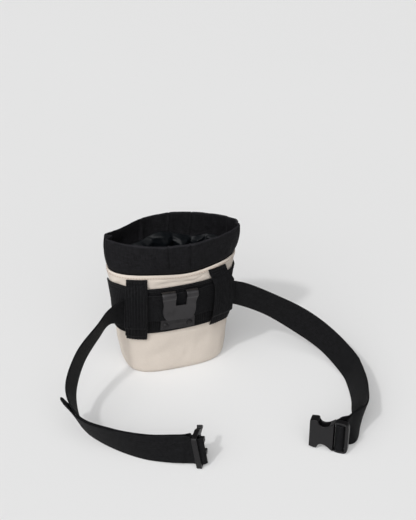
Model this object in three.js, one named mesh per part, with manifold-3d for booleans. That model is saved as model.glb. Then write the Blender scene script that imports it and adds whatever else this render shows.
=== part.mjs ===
// Dog treat pouch: a stand-up canvas pouch with a black cuff, a steel belt clip and a webbing belt.
// Millimetres, +Z up. The origin is the middle of the pouch's base, and the belt side faces -Y.
import * as THREE from 'three';
import { mergeVertices } from 'three/addons/utils/BufferGeometryUtils.js';
import Module from 'manifold-3d';

const wasm = await Module();
wasm.setup();

// Driving dimensions
const GAP = 0.35;
const RING_POINTS = 56;
const HEM_TOP = 147;
const RIM_TOP = 187;
const CANVAS = { cloth: 2, hemHeight: 5, hemThick: 0.7 };
const COLLAR = { cloth: 2.8, foot: 128, bulgeStart: 151, rimRoll: 1.3 };
const LINING = { cloth: 1.2, top: 156, floor: 3.4, folds: 9, foldDepth: 2.6 };
const BAND = { cloth: 2, off: 0.65, bottom: 64.5, top: 129, halfLength: 101 };
const KEEPER = { width: 25.4, cloth: 2, top: 142 };
const BELT = { width: 38, cloth: 1.8, longStep: 8, tailGap: 2.3 };
const CLIP = {
  metal: 1.2, across: -6.1, bottom: 68.5, tilt: 2.5, bendRadius: 4.8, bendHeight: 52.5,
  windowHalf: 6.8, windowAcross: 1.5, windowBottom: 38.5, windowBack: 44,
};
const RIVET = { radius: 3.6, height: 1.7, across: 15.5, up: 6.3 };
const BUCKLE = { width: 44, bevel: 1.2, barThick: 2.6 };
const FEMALE = { thick: 11, frameThick: 7, slotFrom: 3.8, slotTo: 17.2, barFrom: 7.8, barTo: 13.2 };
const MALE = { thick: 6, slotFrom: 4, slotTo: 13.5, barFrom: 7.2, barTo: 9.8 };

// The pouch's outline at each height. bow is how flat the long sides are, tip how round the side
// folds are, shiftX and shiftY the middle's place and turn a twist about Z in degrees.
const POUCH_SECTIONS = [
  { z: 0, halfWidth: 60, halfDepth: 32.5, bow: 3.1, tip: 3.1, shiftX: 0, shiftY: 0, turn: 0 },
  { z: 4, halfWidth: 64, halfDepth: 35.5, bow: 2.9, tip: 2.9, shiftX: 0, shiftY: 0, turn: 0 },
  { z: 14, halfWidth: 67.5, halfDepth: 37, bow: 2.6, tip: 2.6, shiftX: 0, shiftY: 0, turn: 0 },
  { z: 52, halfWidth: 73, halfDepth: 37, bow: 2.5, tip: 2.5, shiftX: 0, shiftY: 0.5, turn: 1 },
  { z: 103, halfWidth: 75.5, halfDepth: 36.5, bow: 2.35, tip: 2.4, shiftX: 0, shiftY: 1, turn: 1.5 },
  { z: 147, halfWidth: 82, halfDepth: 37.5, bow: 2.2, tip: 2.1, shiftX: 0.5, shiftY: 1.5, turn: -1 },
  { z: 167, halfWidth: 84.5, halfDepth: 40.5, bow: 1.95, tip: 1.75, shiftX: 1.5, shiftY: 2, turn: -4 },
  { z: 187, halfWidth: 85.5, halfDepth: 43, bow: 1.8, tip: 1.5, shiftX: 2.3, shiftY: 2, turn: -6 },
];

// How far each keeper's inner face stands off the canvas, at each height.
const LEFT_KEEPER = [
  { z: 50, out: 0.75 },
  { z: 60, out: 0.8 },
  { z: 63.2, out: 3.2 },
  { z: 72, out: 3.4 },
  { z: 78, out: 6.4 },
  { z: 98, out: 7.2 },
  { z: 121.5, out: 6.4 },
  { z: 131.5, out: 3.2 },
  { z: 135, out: 0.8 },
  { z: 142, out: 0.75 },
];
const RIGHT_KEEPER = LEFT_KEEPER.map(({ z, out }) => ({ z, out: out > 3.2 ? out + 2 : out }));
// slant moves a keeper's top sideways, sway its upper middle, which the belt pulls along, and
// outerFlare lifts its edge on the outerSide, where the belt leaves it.
const KEEPERS = [
  {
    name: 'loop_left', across: -54.5, bottom: 55.5, profile: LEFT_KEEPER,
    slant: 3.6, sway: 0, outerSide: -1, outerFlare: 0.32,
  },
  {
    name: 'loop_right', across: 50, bottom: 60, profile: RIGHT_KEEPER,
    slant: -0.6, sway: 3.5, outerSide: 1, outerFlare: 0.42,
  },
];

// The belt behind the keepers and the clip's tongue: round from the belt side's middle, up and off it.
const BELT_MIDDLE = [
  { across: -66, z: 98, out: 6.1 },
  { across: -58, z: 100, out: 4.9 },
  { across: -47, z: 102.5, out: 4.4 },
  { across: -40, z: 103.5, out: 4.7 },
  { across: -27, z: 103.8, out: 7.3 },
  { across: -6, z: 103.8, out: 6.5 },
  { across: 17, z: 102.4, out: 7.6 },
  { across: 34, z: 101.2, out: 5.4 },
  { across: 50, z: 100, out: 5.5 },
  { across: 61, z: 98.7, out: 6 },
];
// The belt's two free runs. lean tips its upper edge away from the wearer, in degrees.
const LEFT_RUN = [
  { x: -87, y: -28.5, z: 96, lean: -18 },
  { x: -106, y: -44, z: 88.5, lean: -17 },
  { x: -135.5, y: -67.5, z: 70, lean: -5 },
  { x: -154.5, y: -98.5, z: 45.5, lean: 13 },
  { x: -150, y: -131.5, z: 28.5, lean: 24 },
  { x: -121, y: -162, z: 21, lean: 15 },
  { x: -86, y: -188.5, z: 20, lean: 3 },
  { x: -60, y: -201, z: 21, lean: -4 },
  { x: -48, y: -206, z: 22, lean: -5 },
];
const RIGHT_RUN = [
  { x: 75, y: -27.5, z: 97, lean: -7 },
  { x: 116.5, y: -37, z: 77.5, lean: -10 },
  { x: 155, y: -57, z: 55, lean: 2 },
  { x: 183, y: -80.5, z: 34, lean: 8 },
  { x: 197, y: -119.5, z: 20, lean: 18 },
  { x: 195, y: -137.5, z: 19.8, lean: 23 },
  { x: 186.5, y: -171.5, z: 22, lean: 26 },
  { x: 175.5, y: -208.5, z: 20.5, lean: 8 },
  { x: 153, y: -232, z: 21.8, lean: -4 },
];

// The belt's way through each buckle: along the buckle from its end bar, and to its left.
const MALE_THREADING = [
  { along: 12, left: 10 },
  { along: 11.6, left: 2.5 },
  { along: 11.2, left: -4.5 },
  { along: 8.5, left: -8 },
  { along: 5.8, left: -4.5 },
  { along: 5.5, left: 2.5 },
  { along: 6.6, left: 9 },
];
const FEMALE_THREADING = [
  { along: 6.4, left: -12 },
  { along: 5.7, left: -3 },
  { along: 6.6, left: 2.6 },
  { along: 10.5, left: 4.3 },
  { along: 14.4, left: 2.6 },
  { along: 15.3, left: -3 },
  { along: 12.6, left: -11.5 },
];

// Each buckle stands on one long edge. heading is where its free end points, in degrees from +X.
const MALE_PLACE = { x: -35, y: -223, z: 0.4, heading: 58, roll: -9 };
const FEMALE_PLACE = { x: 137.5, y: -249.4, z: 0, heading: 142, roll: 0 };

// Half width of the socket, from its end bar to its mouth.
const FEMALE_OUTLINE = [
  { along: 0, half: 17.5 },
  { along: 1.2, half: 20.6 },
  { along: 4.5, half: 22 },
  { along: 15, half: 21.6 },
  { along: 19.5, half: 18.6 },
  { along: 25, half: 14.6 },
  { along: 30, half: 13 },
  { along: 33.5, half: 14.2 },
  { along: 35.5, half: 17 },
  { along: 36.5, half: 20 },
  { along: 45.6, half: 19.2 },
];
// Upper half of the plug: its frame, a side arm with its barb and the middle guide.
const MALE_OUTLINE = [
  { along: 0, half: 20 },
  { along: 1.2, half: 22 },
  { along: 18, half: 22 },
  { along: 25, half: 18.4 },
  { along: 26.5, half: 21.5 },
  { along: 31, half: 18.5 },
  { along: 31, half: 15.5 },
  { along: 20, half: 14 },
  { along: 19, half: 4 },
  { along: 30, half: 3 },
];
const SOCKET = { from: 22, half: 16.5, height: 7 };

// Materials
const MATERIALS = {
  canvas: { color: 0xd9cdbf, roughness: 0.9, metalness: 0 },
  black_cloth: { color: 0x222224, roughness: 0.92, metalness: 0 },
  lining_cloth: { color: 0x15161a, roughness: 0.4, metalness: 0 },
  webbing: { color: 0x1c1c1e, roughness: 0.85, metalness: 0 },
  steel: { color: 0x454547, roughness: 0.45, metalness: 0.7 },
  plastic: { color: 0x2b2b2d, roughness: 0.5, metalness: 0 },
};

const radians = THREE.MathUtils.degToRad;
const lerp = THREE.MathUtils.lerp;

// Value of one column of a table at a height, smooth from row to row.
function columnAt(rows, key, column, place) {
  let i = rows.findIndex((row) => row[key] > place) - 1;
  if (i === -2) i = rows.length - 2;
  i = Math.max(i, 0);
  const slopeAt = (k) => {
    const before = rows[Math.max(k - 1, 0)];
    const after = rows[Math.min(k + 1, rows.length - 1)];
    return (after[column] - before[column]) / (after[key] - before[key]);
  };
  const span = rows[i + 1][key] - rows[i][key];
  const t = (place - rows[i][key]) / span;
  const start = rows[i][column];
  const end = rows[i + 1][column];
  const bend = (1 - t) * (slopeAt(i) * span - (end - start)) - t * (slopeAt(i + 1) * span - (end - start));
  return lerp(start, end, t) + t * (1 - t) * bend;
}

// Same, easing in and out of every row.
function easedAt(rows, key, column, place) {
  let i = rows.findIndex((row) => row[key] >= place);
  if (i === -1) i = rows.length - 1;
  i = Math.max(i, 1);
  const t = (place - rows[i - 1][key]) / (rows[i][key] - rows[i - 1][key]);
  return lerp(rows[i - 1][column], rows[i][column], THREE.MathUtils.smoothstep(t, 0, 1));
}

// The pouch's closed outline at a height, from the middle of the belt side towards +X.
// inset(angle) moves each point inwards.
function outline(z, inset, count = RING_POINTS) {
  const level = THREE.MathUtils.clamp(z, 0, RIM_TOP);
  const at = (column) => columnAt(POUCH_SECTIONS, 'z', column, level);
  const [halfWidth, halfDepth, bow, tip] = ['halfWidth', 'halfDepth', 'bow', 'tip'].map(at);
  const turn = radians(at('turn'));
  const middle = new THREE.Vector2(at('shiftX'), at('shiftY'));
  const points = [];
  for (let i = 0; i < count; i += 1) {
    const angle = (i / count) * 2 * Math.PI - Math.PI / 2;
    const cut = inset(angle);
    const side = Math.cos(angle);
    const depth = Math.sin(angle);
    const flat = new THREE.Vector2(
      (halfWidth - cut) * Math.sign(side) * Math.abs(side) ** (2 / bow),
      (halfDepth - cut) * Math.sign(depth) * Math.abs(depth) ** (2 / tip),
    );
    flat.rotateAround(new THREE.Vector2(), turn).add(middle);
    points.push(new THREE.Vector3(flat.x, flat.y, z));
  }
  return points;
}

// Point on the pouch's outside, across mm round from the belt side's middle and out mm off it.
const FINE_RING = 240;
function wallPoint(across, z, out) {
  const ring = outline(z, () => 0, FINE_RING);
  const step = across < 0 ? -1 : 1;
  const pointAt = (k) => ring[(k + 2 * FINE_RING) % FINE_RING];
  const outwardAt = (k) => {
    const along = pointAt(k + 1).clone().sub(pointAt(k - 1)).normalize();
    return new THREE.Vector3(along.y, -along.x, 0);
  };
  let left = Math.abs(across);
  let k = 0;
  while (left > pointAt(k).distanceTo(pointAt(k + step))) {
    left -= pointAt(k).distanceTo(pointAt(k + step));
    k += step;
  }
  const t = left / pointAt(k).distanceTo(pointAt(k + step));
  const outward = outwardAt(k).lerp(outwardAt(k + step), t).normalize();
  return pointAt(k).clone().lerp(pointAt(k + step), t).addScaledVector(outward, out);
}

// Closed geometry from points and triangles, with its faces pointing out.
function closedGeometry(points, triangles) {
  let volume = 0;
  for (const [a, b, c] of triangles) {
    volume += points[a].dot(points[b].clone().cross(points[c]));
  }
  const index = triangles.flatMap(([a, b, c]) => (volume < 0 ? [a, c, b] : [a, b, c]));
  const geometry = new THREE.BufferGeometry();
  geometry.setAttribute('position', new THREE.Float32BufferAttribute(points.flatMap((p) => p.toArray()), 3));
  geometry.setIndex(index);
  geometry.computeVertexNormals();
  return geometry;
}

// Solid through a stack of rings: a bag closed by its first and last ring, or a sleeve.
function ringSolid(rings, isSleeve) {
  const count = rings[0].length;
  const points = rings.flat();
  const triangles = [];
  const join = (a, b) => {
    for (let i = 0; i < count; i += 1) {
      const next = (i + 1) % count;
      triangles.push([a * count + i, a * count + next, b * count + next]);
      triangles.push([a * count + i, b * count + next, b * count + i]);
    }
  };
  rings.slice(1).forEach((_, k) => join(k, k + 1));
  if (isSleeve) {
    join(rings.length - 1, 0);
    return closedGeometry(points, triangles);
  }
  const last = rings.length - 1;
  for (const [ring, flip] of [[0, true], [last, false]]) {
    const middle = new THREE.Vector3();
    rings[ring].forEach((p) => middle.addScaledVector(p, 1 / count));
    const centre = points.push(middle) - 1;
    for (let i = 0; i < count; i += 1) {
      const [a, b] = [ring * count + i, ring * count + ((i + 1) % count)];
      triangles.push(flip ? [centre, b, a] : [centre, a, b]);
    }
  }
  return closedGeometry(points, triangles);
}

// Solid between two faces given as functions of u and v from 0 to 1.
function sheetSolid(front, back, columns, rows) {
  const points = [];
  const triangles = [];
  for (const face of [front, back]) {
    for (let i = 0; i <= columns; i += 1) {
      for (let j = 0; j <= rows; j += 1) points.push(face(i / columns, j / rows));
    }
  }
  const side = (columns + 1) * (rows + 1);
  const at = (face, i, j) => face * side + i * (rows + 1) + j;
  const quad = (a, b, c, d) => triangles.push([a, b, c], [a, c, d]);
  for (let i = 0; i < columns; i += 1) {
    for (let j = 0; j < rows; j += 1) {
      quad(at(0, i, j), at(0, i + 1, j), at(0, i + 1, j + 1), at(0, i, j + 1));
      quad(at(1, i, j), at(1, i, j + 1), at(1, i + 1, j + 1), at(1, i + 1, j));
    }
    quad(at(0, i, 0), at(1, i, 0), at(1, i + 1, 0), at(0, i + 1, 0));
    quad(at(0, i, rows), at(0, i + 1, rows), at(1, i + 1, rows), at(1, i, rows));
  }
  for (let j = 0; j < rows; j += 1) {
    quad(at(0, 0, j), at(0, 0, j + 1), at(1, 0, j + 1), at(1, 0, j));
    quad(at(0, columns, j), at(1, columns, j), at(1, columns, j + 1), at(0, columns, j + 1));
  }
  return closedGeometry(points, triangles);
}

// Between a closed geometry and a solid that can be cut and joined
function toSolid(geometry) {
  const bare = geometry.clone();
  bare.deleteAttribute('normal');
  bare.deleteAttribute('uv');
  const merged = mergeVertices(bare, 1e-4);
  return new wasm.Manifold(new wasm.Mesh({
    numProp: 3,
    vertProperties: new Float32Array(merged.attributes.position.array),
    triVerts: new Uint32Array(merged.index.array),
  }));
}

function fromSolid(solid) {
  const mesh = solid.getMesh();
  const geometry = new THREE.BufferGeometry();
  geometry.setAttribute('position', new THREE.Float32BufferAttribute(mesh.vertProperties, 3));
  geometry.setIndex(Array.from(mesh.triVerts));
  geometry.computeVertexNormals();
  return geometry;
}

function boxSolid(low, high) {
  const size = high.map((value, k) => value - low[k]);
  const middle = high.map((value, k) => (value + low[k]) / 2);
  return toSolid(new THREE.BoxGeometry(...size).translate(...middle));
}

const pouch = new THREE.Group();

function addPart(name, geometry, material, parent = pouch) {
  const mesh = new THREE.Mesh(geometry, new THREE.MeshStandardMaterial(MATERIALS[material]));
  mesh.name = name;
  parent.add(mesh);
  return mesh;
}

// Canvas body: outside up to the hem's fold, then the inside down to the floor
function bodyCanvas() {
  const hemFoot = HEM_TOP - CANVAS.hemHeight;
  const outside = [0, 4, 9, 14, 30, 52, 78, 103, 125, hemFoot].map((z) => outline(z, () => 0));
  const hem = [hemFoot + 0.4, HEM_TOP].map((z) => outline(z, () => -CANVAS.hemThick));
  const insideLevels = [HEM_TOP, 125, 103, 78, 52, 30, 14, 9, 4, CANVAS.cloth];
  const inside = insideLevels.map((z) => outline(z, () => CANVAS.cloth));
  return ringSolid([...outside, ...hem, ...inside], false);
}

// Collar: tucked inside the hem at its foot, then out to the pouch's own outline
function collar() {
  const tuck = CANVAS.cloth + 2 * GAP;
  const roll = COLLAR.rimRoll;
  const outerRows = [
    { z: COLLAR.foot, inset: tuck },
    { z: HEM_TOP - 8, inset: tuck },
    { z: HEM_TOP + 0.5, inset: tuck },
    { z: COLLAR.bulgeStart, inset: 0.8 },
    { z: 158, inset: -0.3 },
    { z: 170, inset: -0.4 },
    { z: RIM_TOP - roll, inset: 0 },
    { z: RIM_TOP, inset: roll * 0.6 },
  ];
  const outer = outerRows.map(({ z, inset }) => outline(z, () => inset));
  const inner = outerRows.map(({ z, inset }, k) => {
    const isRim = k === outerRows.length - 1;
    return outline(z, () => (isRim ? COLLAR.cloth - inset : inset + COLLAR.cloth));
  });
  return ringSolid([...outer, ...inner.reverse()], true);
}

// Lining: a bag hung inside the collar, with soft folds that only stand inwards
function lining() {
  const clear = CANVAS.cloth + COLLAR.cloth + 3 * GAP;
  const fold = (angle, z) => {
    const wave = Math.sin(LINING.folds * angle + z / 17) + Math.sin(5 * angle - z / 11);
    return (LINING.foldDepth * (wave + 2)) / 4;
  };
  const levels = [LINING.floor, 12, 45, 80, 112, 138, LINING.top];
  const outer = levels.map((z) => outline(z, (angle) => clear + fold(angle, z)));
  const innerLevels = [LINING.floor + LINING.cloth, ...levels.slice(1)].reverse();
  const inner = innerLevels.map((z) => outline(z, (angle) => clear + LINING.cloth + fold(angle, z)));
  return ringSolid([...outer, ...inner], false);
}

// Band across the belt side
function backPanel() {
  const face = (out) => (u, v) => {
    const across = lerp(-BAND.halfLength, BAND.halfLength, u);
    return wallPoint(across, lerp(BAND.bottom, BAND.top, v), out);
  };
  return sheetSolid(face(BAND.off + BAND.cloth), face(BAND.off), 44, 5);
}

// Keeper: a strip of webbing sewn down at both ends and bowed over the belt
function keeper({ across, bottom, profile, slant, sway, outerSide, outerFlare }) {
  const face = (extra) => (u, v) => {
    const z = lerp(bottom, KEEPER.top, v);
    const flare = 1 + outerFlare * Math.max(0, outerSide * (2 * u - 1));
    const out = easedAt(profile, 'z', 'out', z) * flare;
    const middle = across + (v - 0.5) * slant + sway * Math.sin(Math.PI * v * v);
    return wallPoint(middle + (u - 0.5) * KEEPER.width, z, out + extra);
  };
  return sheetSolid(face(KEEPER.cloth), face(0), 3, 40);
}

// Belt clip: one bent strip, from its lower plate up the back, over the bend and down the tongue.
// up is the height above its lower edge, out the distance from the band, half its half width.
const bendMiddle = CLIP.metal / 2 + CLIP.bendRadius;
const CLIP_STRIP = [
  { out: CLIP.metal / 2, up: 0, half: 20.5 },
  { out: CLIP.metal / 2, up: 1.5, half: 22 },
  { out: CLIP.metal / 2, up: 16, half: 22 },
  { out: CLIP.metal / 2, up: 19, half: 19 },
  { out: CLIP.metal / 2, up: 46, half: 20 },
  ...[180, 157, 134, 111, 90, 68, 45, 22, 0].map((angle) => ({
    out: bendMiddle + CLIP.bendRadius * Math.cos(radians(angle)),
    up: CLIP.bendHeight + CLIP.bendRadius * Math.sin(radians(angle)),
    half: 22.9,
  })),
  { out: bendMiddle + 4.2, up: 48, half: 22 },
  { out: bendMiddle + 2.4, up: 40, half: 20.8 },
  { out: bendMiddle + 1.2, up: 31, half: 21.2 },
  { out: bendMiddle + 1.4, up: 26, half: 20.4 },
  { out: bendMiddle + 2.2, up: 22, half: 18.8 },
  { out: bendMiddle + 2.8, up: 19.6, half: 17 },
  { out: bendMiddle + 3.2, up: 18.4, half: 14 },
];
function beltClip() {
  const spots = CLIP_STRIP.map(({ out, up }) => new THREE.Vector2(out, up));
  const face = (offset) => (u, v) => {
    const k = Math.round(v * (CLIP_STRIP.length - 1));
    const before = spots[Math.max(k - 1, 0)];
    const after = spots[Math.min(k + 1, spots.length - 1)];
    const along = after.clone().sub(before).normalize();
    const x = (2 * u - 1) * CLIP_STRIP[k].half;
    return new THREE.Vector3(x, -spots[k].x - along.y * offset, spots[k].y + along.x * offset);
  };
  const strip = sheetSolid(face(CLIP.metal / 2), face(-CLIP.metal / 2), 4, CLIP_STRIP.length - 1);
  const low = CLIP.windowAcross - CLIP.windowHalf;
  const high = CLIP.windowAcross + CLIP.windowHalf;
  const beyond = 2 * CLIP.bendHeight;
  const front = boxSolid([low, -beyond, CLIP.windowBottom], [high, -bendMiddle, beyond]);
  const back = boxSolid([low, -bendMiddle - 1, CLIP.windowBack], [high, beyond, beyond]);
  return fromSolid(toSolid(strip).subtract(front).subtract(back));
}

// The clip lies flat on the band, turned a little in its own plane.
function clipPlace() {
  const levels = [0, 16, 32, CLIP.bendHeight].map((up) => CLIP.bottom + up);
  const spots = levels.map((z) => wallPoint(CLIP.across, z, BAND.off + BAND.cloth));
  const group = new THREE.Group();
  group.position.set(spots[1].x, Math.min(...spots.map(({ y }) => y)) - GAP, CLIP.bottom);
  group.rotation.y = radians(CLIP.tilt);
  return group;
}

// Rivet: a low domed head on the clip's lower plate
function rivet(side) {
  const { radius, height } = RIVET;
  const rim = [[0, 0], [radius, 0], [radius, 0.3 * height]];
  const dome = [[0.8 * radius, 0.7 * height], [0.4 * radius, 0.94 * height], [0, height]];
  const profile = [...rim, ...dome].map(([r, h]) => new THREE.Vector2(r, h));
  const head = new THREE.LatheGeometry(profile, 16);
  head.rotateX(Math.PI);
  head.translate(side * RIVET.across, -CLIP.metal - GAP, RIVET.up);
  return fromSolid(toSolid(head));
}

// Buckles: a flat outline, the same on both sides of its middle, with rounded edges
function buckleGroup({ x, y, z, heading, roll }) {
  const group = new THREE.Group();
  group.position.set(x, y, z);
  group.rotation.set(radians(roll), 0, radians(heading), 'ZYX');
  group.updateMatrixWorld();
  return group;
}

function buckleBlank(rows, thickness) {
  const upper = rows.map(({ along, half }) => new THREE.Vector2(along, half));
  const lower = rows.map(({ along, half }) => new THREE.Vector2(along, -half)).reverse();
  const { bevel } = BUCKLE;
  const blank = new THREE.ExtrudeGeometry(new THREE.Shape([...upper, ...lower]), {
    depth: thickness - 2 * bevel,
    bevelEnabled: true,
    bevelSize: bevel,
    bevelOffset: -bevel,
    bevelThickness: bevel,
    bevelSegments: 2,
  });
  blank.translate(0, 0, bevel - thickness / 2);
  blank.rotateX(Math.PI / 2);
  blank.translate(0, 0, BUCKLE.width / 2);
  return toSolid(blank);
}

const webbingLow = (BUCKLE.width - BELT.width) / 2 - GAP;
const webbingHigh = BUCKLE.width - webbingLow;

// Cut right through a buckle's thickness, from one place along it to another
function throughCut(from, to, low, high) {
  return boxSolid([from, -BUCKLE.width, low], [to, BUCKLE.width, high]);
}

function barSolid({ barFrom, barTo }) {
  const half = BUCKLE.barThick / 2;
  return boxSolid([barFrom, -half, 1], [barTo, half, BUCKLE.width - 1]);
}

// Socket half: a thin frame for the webbing, and a thicker socket open at its mouth and sides
function buckleFemale() {
  const blank = buckleBlank(FEMALE_OUTLINE, FEMALE.thick);
  const slot = throughCut(FEMALE.slotFrom, FEMALE.slotTo, webbingLow, webbingHigh);
  const middle = BUCKLE.width / 2;
  const socketLow = [SOCKET.from, -SOCKET.height / 2, middle - SOCKET.half];
  const socket = boxSolid(socketLow, [2 * BUCKLE.width, SOCKET.height / 2, middle + SOCKET.half]);
  const frameCuts = [-1, 1].map((side) => {
    const faces = [side * FEMALE.frameThick / 2, side * BUCKLE.width].sort((a, b) => a - b);
    return boxSolid([-1, faces[0], -1], [FEMALE.slotTo, faces[1], BUCKLE.width + 1]);
  });
  const shell = [slot, socket, ...frameCuts].reduce((solid, cut) => solid.subtract(cut), blank);
  return fromSolid(shell.add(barSolid(FEMALE)));
}

// Plug half: a frame for the webbing with two side arms and a middle guide
function buckleMale() {
  const blank = buckleBlank(MALE_OUTLINE, MALE.thick);
  const slot = throughCut(MALE.slotFrom, MALE.slotTo, webbingLow, webbingHigh);
  return fromSolid(blank.subtract(slot).add(barSolid(MALE)));
}

const maleGroup = buckleGroup(MALE_PLACE);
const femaleGroup = buckleGroup(FEMALE_PLACE);

// Belt stations: a centre, and the direction from the belt's lower edge to its upper edge
function leaningStations(rows, side) {
  return rows.map(({ x, y, z, lean }, k) => {
    const before = rows[Math.max(k - 1, 0)];
    const after = rows[Math.min(k + 1, rows.length - 1)];
    const along = new THREE.Vector3(after.x - before.x, after.y - before.y, after.z - before.z).normalize();
    const outward = new THREE.Vector3(-along.y, along.x, 0).multiplyScalar(side).normalize();
    const up = new THREE.Vector3(0, 0, Math.cos(radians(lean)));
    up.addScaledVector(outward, Math.sin(radians(lean)));
    up.addScaledVector(along, -up.dot(along)).normalize();
    return { centre: new THREE.Vector3(x, y, z), up };
  });
}

function threadedStations(rows, group) {
  const up = new THREE.Vector3(0, 0, 1).applyQuaternion(group.quaternion);
  return rows.map(({ along, left }) => ({
    centre: group.localToWorld(new THREE.Vector3(along, left, BUCKLE.width / 2)),
    up,
  }));
}

// A smooth path through stations, whose points can be asked for by station number
function beltPath(stations) {
  const centres = new THREE.CatmullRomCurve3(stations.map(({ centre }) => centre), false, 'centripetal');
  const ups = new THREE.CatmullRomCurve3(stations.map(({ up }) => up), false, 'centripetal');
  return (number) => {
    const t = number / (stations.length - 1);
    const along = centres.getTangent(t);
    const up = ups.getPoint(t);
    up.addScaledVector(along, -up.dot(along)).normalize();
    return { centre: centres.getPoint(t), up, face: along.clone().cross(up) };
  };
}

// A second layer beside a path: one station for each row's station number and distance off it
function layerStations(path, rows) {
  return rows.map(({ number, off }) => {
    const { centre, up, face } = path(number);
    return { centre: centre.clone().addScaledVector(face, off), up };
  });
}

const upright = BELT_MIDDLE.map(({ across, z, out }) => ({
  centre: wallPoint(across, z, out),
  up: new THREE.Vector3(0, 0, 1),
}));
const leftStations = leaningStations(LEFT_RUN, -1);
const rightStations = leaningStations(RIGHT_RUN, 1);
const maleStations = threadedStations(MALE_THREADING, maleGroup);
const femaleStations = threadedStations(FEMALE_THREADING, femaleGroup);

// The free tail lies on the outside of the left run and stands off at its hemmed end.
const TAIL = [
  { number: 3.28, off: 7 },
  { number: 3.7, off: 6 },
  { number: 4.2, off: 4.2 },
  { number: 5, off: 2.8 },
  { number: 6, off: BELT.tailGap },
  { number: 7, off: BELT.tailGap },
  { number: 7.9, off: BELT.tailGap + 0.4 },
];
// The sewn end lies on the inside of the right run, read back from its last station.
const lastRight = RIGHT_RUN.length - 1;
const SEWN_END = [
  { number: lastRight, off: BELT.tailGap + 0.3 },
  { number: lastRight - 0.45, off: BELT.tailGap },
  { number: lastRight - 0.8, off: BELT.tailGap },
];
const beltStations = [
  ...layerStations(beltPath(leftStations), TAIL),
  ...maleStations.slice().reverse(),
  ...leftStations.slice().reverse(),
  ...upright,
  ...rightStations,
  ...femaleStations,
  ...layerStations(beltPath(rightStations), SEWN_END),
];

function waistBelt() {
  const path = beltPath(beltStations);
  const sections = [];
  for (let k = 0; k < beltStations.length - 1; k += 1) {
    const length = beltStations[k].centre.distanceTo(beltStations[k + 1].centre);
    const steps = Math.max(3, Math.ceil(length / BELT.longStep));
    for (let i = 0; i < steps; i += 1) sections.push(path(k + i / steps));
  }
  sections.push(path(beltStations.length - 1));
  const face = (offset) => (u, v) => {
    const { centre, up, face: across } = sections[Math.round(u * (sections.length - 1))];
    const point = centre.clone().addScaledVector(up, (v - 0.5) * BELT.width);
    return point.addScaledVector(across, offset);
  };
  return sheetSolid(face(BELT.cloth / 2), face(-BELT.cloth / 2), sections.length - 1, 1);
}

// Assembly
addPart('body_canvas', bodyCanvas(), 'canvas');
addPart('collar', collar(), 'black_cloth');
addPart('lining', lining(), 'lining_cloth');
addPart('back_panel', backPanel(), 'black_cloth');
KEEPERS.forEach((row) => addPart(row.name, keeper(row), 'webbing'));
const clipGroup = clipPlace();
addPart('belt_clip', beltClip(), 'steel', clipGroup);
addPart('rivet_left', rivet(-1), 'steel', clipGroup);
addPart('rivet_right', rivet(1), 'steel', clipGroup);
addPart('waist_belt', waistBelt(), 'webbing');
addPart('buckle_female', buckleFemale(), 'plastic', femaleGroup);
addPart('buckle_male', buckleMale(), 'plastic', maleGroup);
pouch.add(clipGroup, femaleGroup, maleGroup);

export default pouch;
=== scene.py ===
import math
from types import SimpleNamespace as Sizes

import bmesh
import bpy
import numpy as np
from mathutils import Matrix, Vector


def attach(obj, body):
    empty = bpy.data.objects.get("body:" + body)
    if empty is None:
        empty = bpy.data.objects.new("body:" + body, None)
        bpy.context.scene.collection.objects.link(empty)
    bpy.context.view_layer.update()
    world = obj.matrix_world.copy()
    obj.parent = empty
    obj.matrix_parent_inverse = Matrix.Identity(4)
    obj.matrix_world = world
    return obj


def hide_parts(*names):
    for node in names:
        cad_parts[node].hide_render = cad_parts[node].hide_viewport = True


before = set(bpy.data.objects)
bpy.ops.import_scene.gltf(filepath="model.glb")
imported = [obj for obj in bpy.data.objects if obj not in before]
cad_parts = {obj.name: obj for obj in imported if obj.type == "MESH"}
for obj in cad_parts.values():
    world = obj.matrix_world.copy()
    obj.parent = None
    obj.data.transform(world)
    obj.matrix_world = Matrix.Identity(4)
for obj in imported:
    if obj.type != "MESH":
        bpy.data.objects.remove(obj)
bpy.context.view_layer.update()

# Driving dimensions, the same as the solids'. Lengths are in millimetres up to the moment a mesh is made.
MM = 0.001
RIM_TOP = 187
HEM_FOOT = 142
BAND = Sizes(cloth=2.0, off=0.65, bottom=64.5, top=129, half=101)
KEEPER = Sizes(width=25.4, cloth=2.0, top=142)
BELT = Sizes(width=38, cloth=1.8, tail_gap=2.3)
CLIP = Sizes(
    metal=1.2, across=-6.1, bottom=68.5, tilt=2.5, bend_radius=4.8, bend_height=52.5,
    window_low=-5.3, window_high=8.3, window_bottom=38.5, window_back=44,
)
RIVET = Sizes(across=15.5, up=6.3)
BUCKLE_WIDTH = 44
FEMALE = Sizes(thick=11, frame_thick=7, slot=(3.8, 17.2), bar=(7.8, 13.2))
MALE = Sizes(thick=6, slot=(4, 13.5), bar=(7.2, 9.8))

# The pouch's outline at each height. bow is how flat the long sides are, tip how round the side folds are,
# shift_x and shift_y the middle's place and turn a twist about Z in degrees.
SECTION_COLUMNS = ("z", "half_width", "half_depth", "bow", "tip", "shift_x", "shift_y", "turn")
POUCH_SECTIONS = np.array([
    (0, 60, 32.5, 3.1, 3.1, 0, 0, 0),
    (4, 64, 35.5, 2.9, 2.9, 0, 0, 0),
    (14, 67.5, 37, 2.6, 2.6, 0, 0, 0),
    (52, 73, 37, 2.5, 2.5, 0, 0.5, 1),
    (103, 75.5, 36.5, 2.35, 2.4, 0, 1, 1.5),
    (147, 82, 37.5, 2.2, 2.1, 0.5, 1.5, -1),
    (167, 84.5, 40.5, 1.95, 1.75, 1.5, 2, -4),
    (187, 85.5, 43, 1.8, 1.5, 2.3, 2, -6),
], float)


# Directions and lines of points
def unit(v):
    return v / np.linalg.norm(v, axis=-1, keepdims=True)


def cos_sin(degrees):
    return math.cos(math.radians(degrees)), math.sin(math.radians(degrees))


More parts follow.
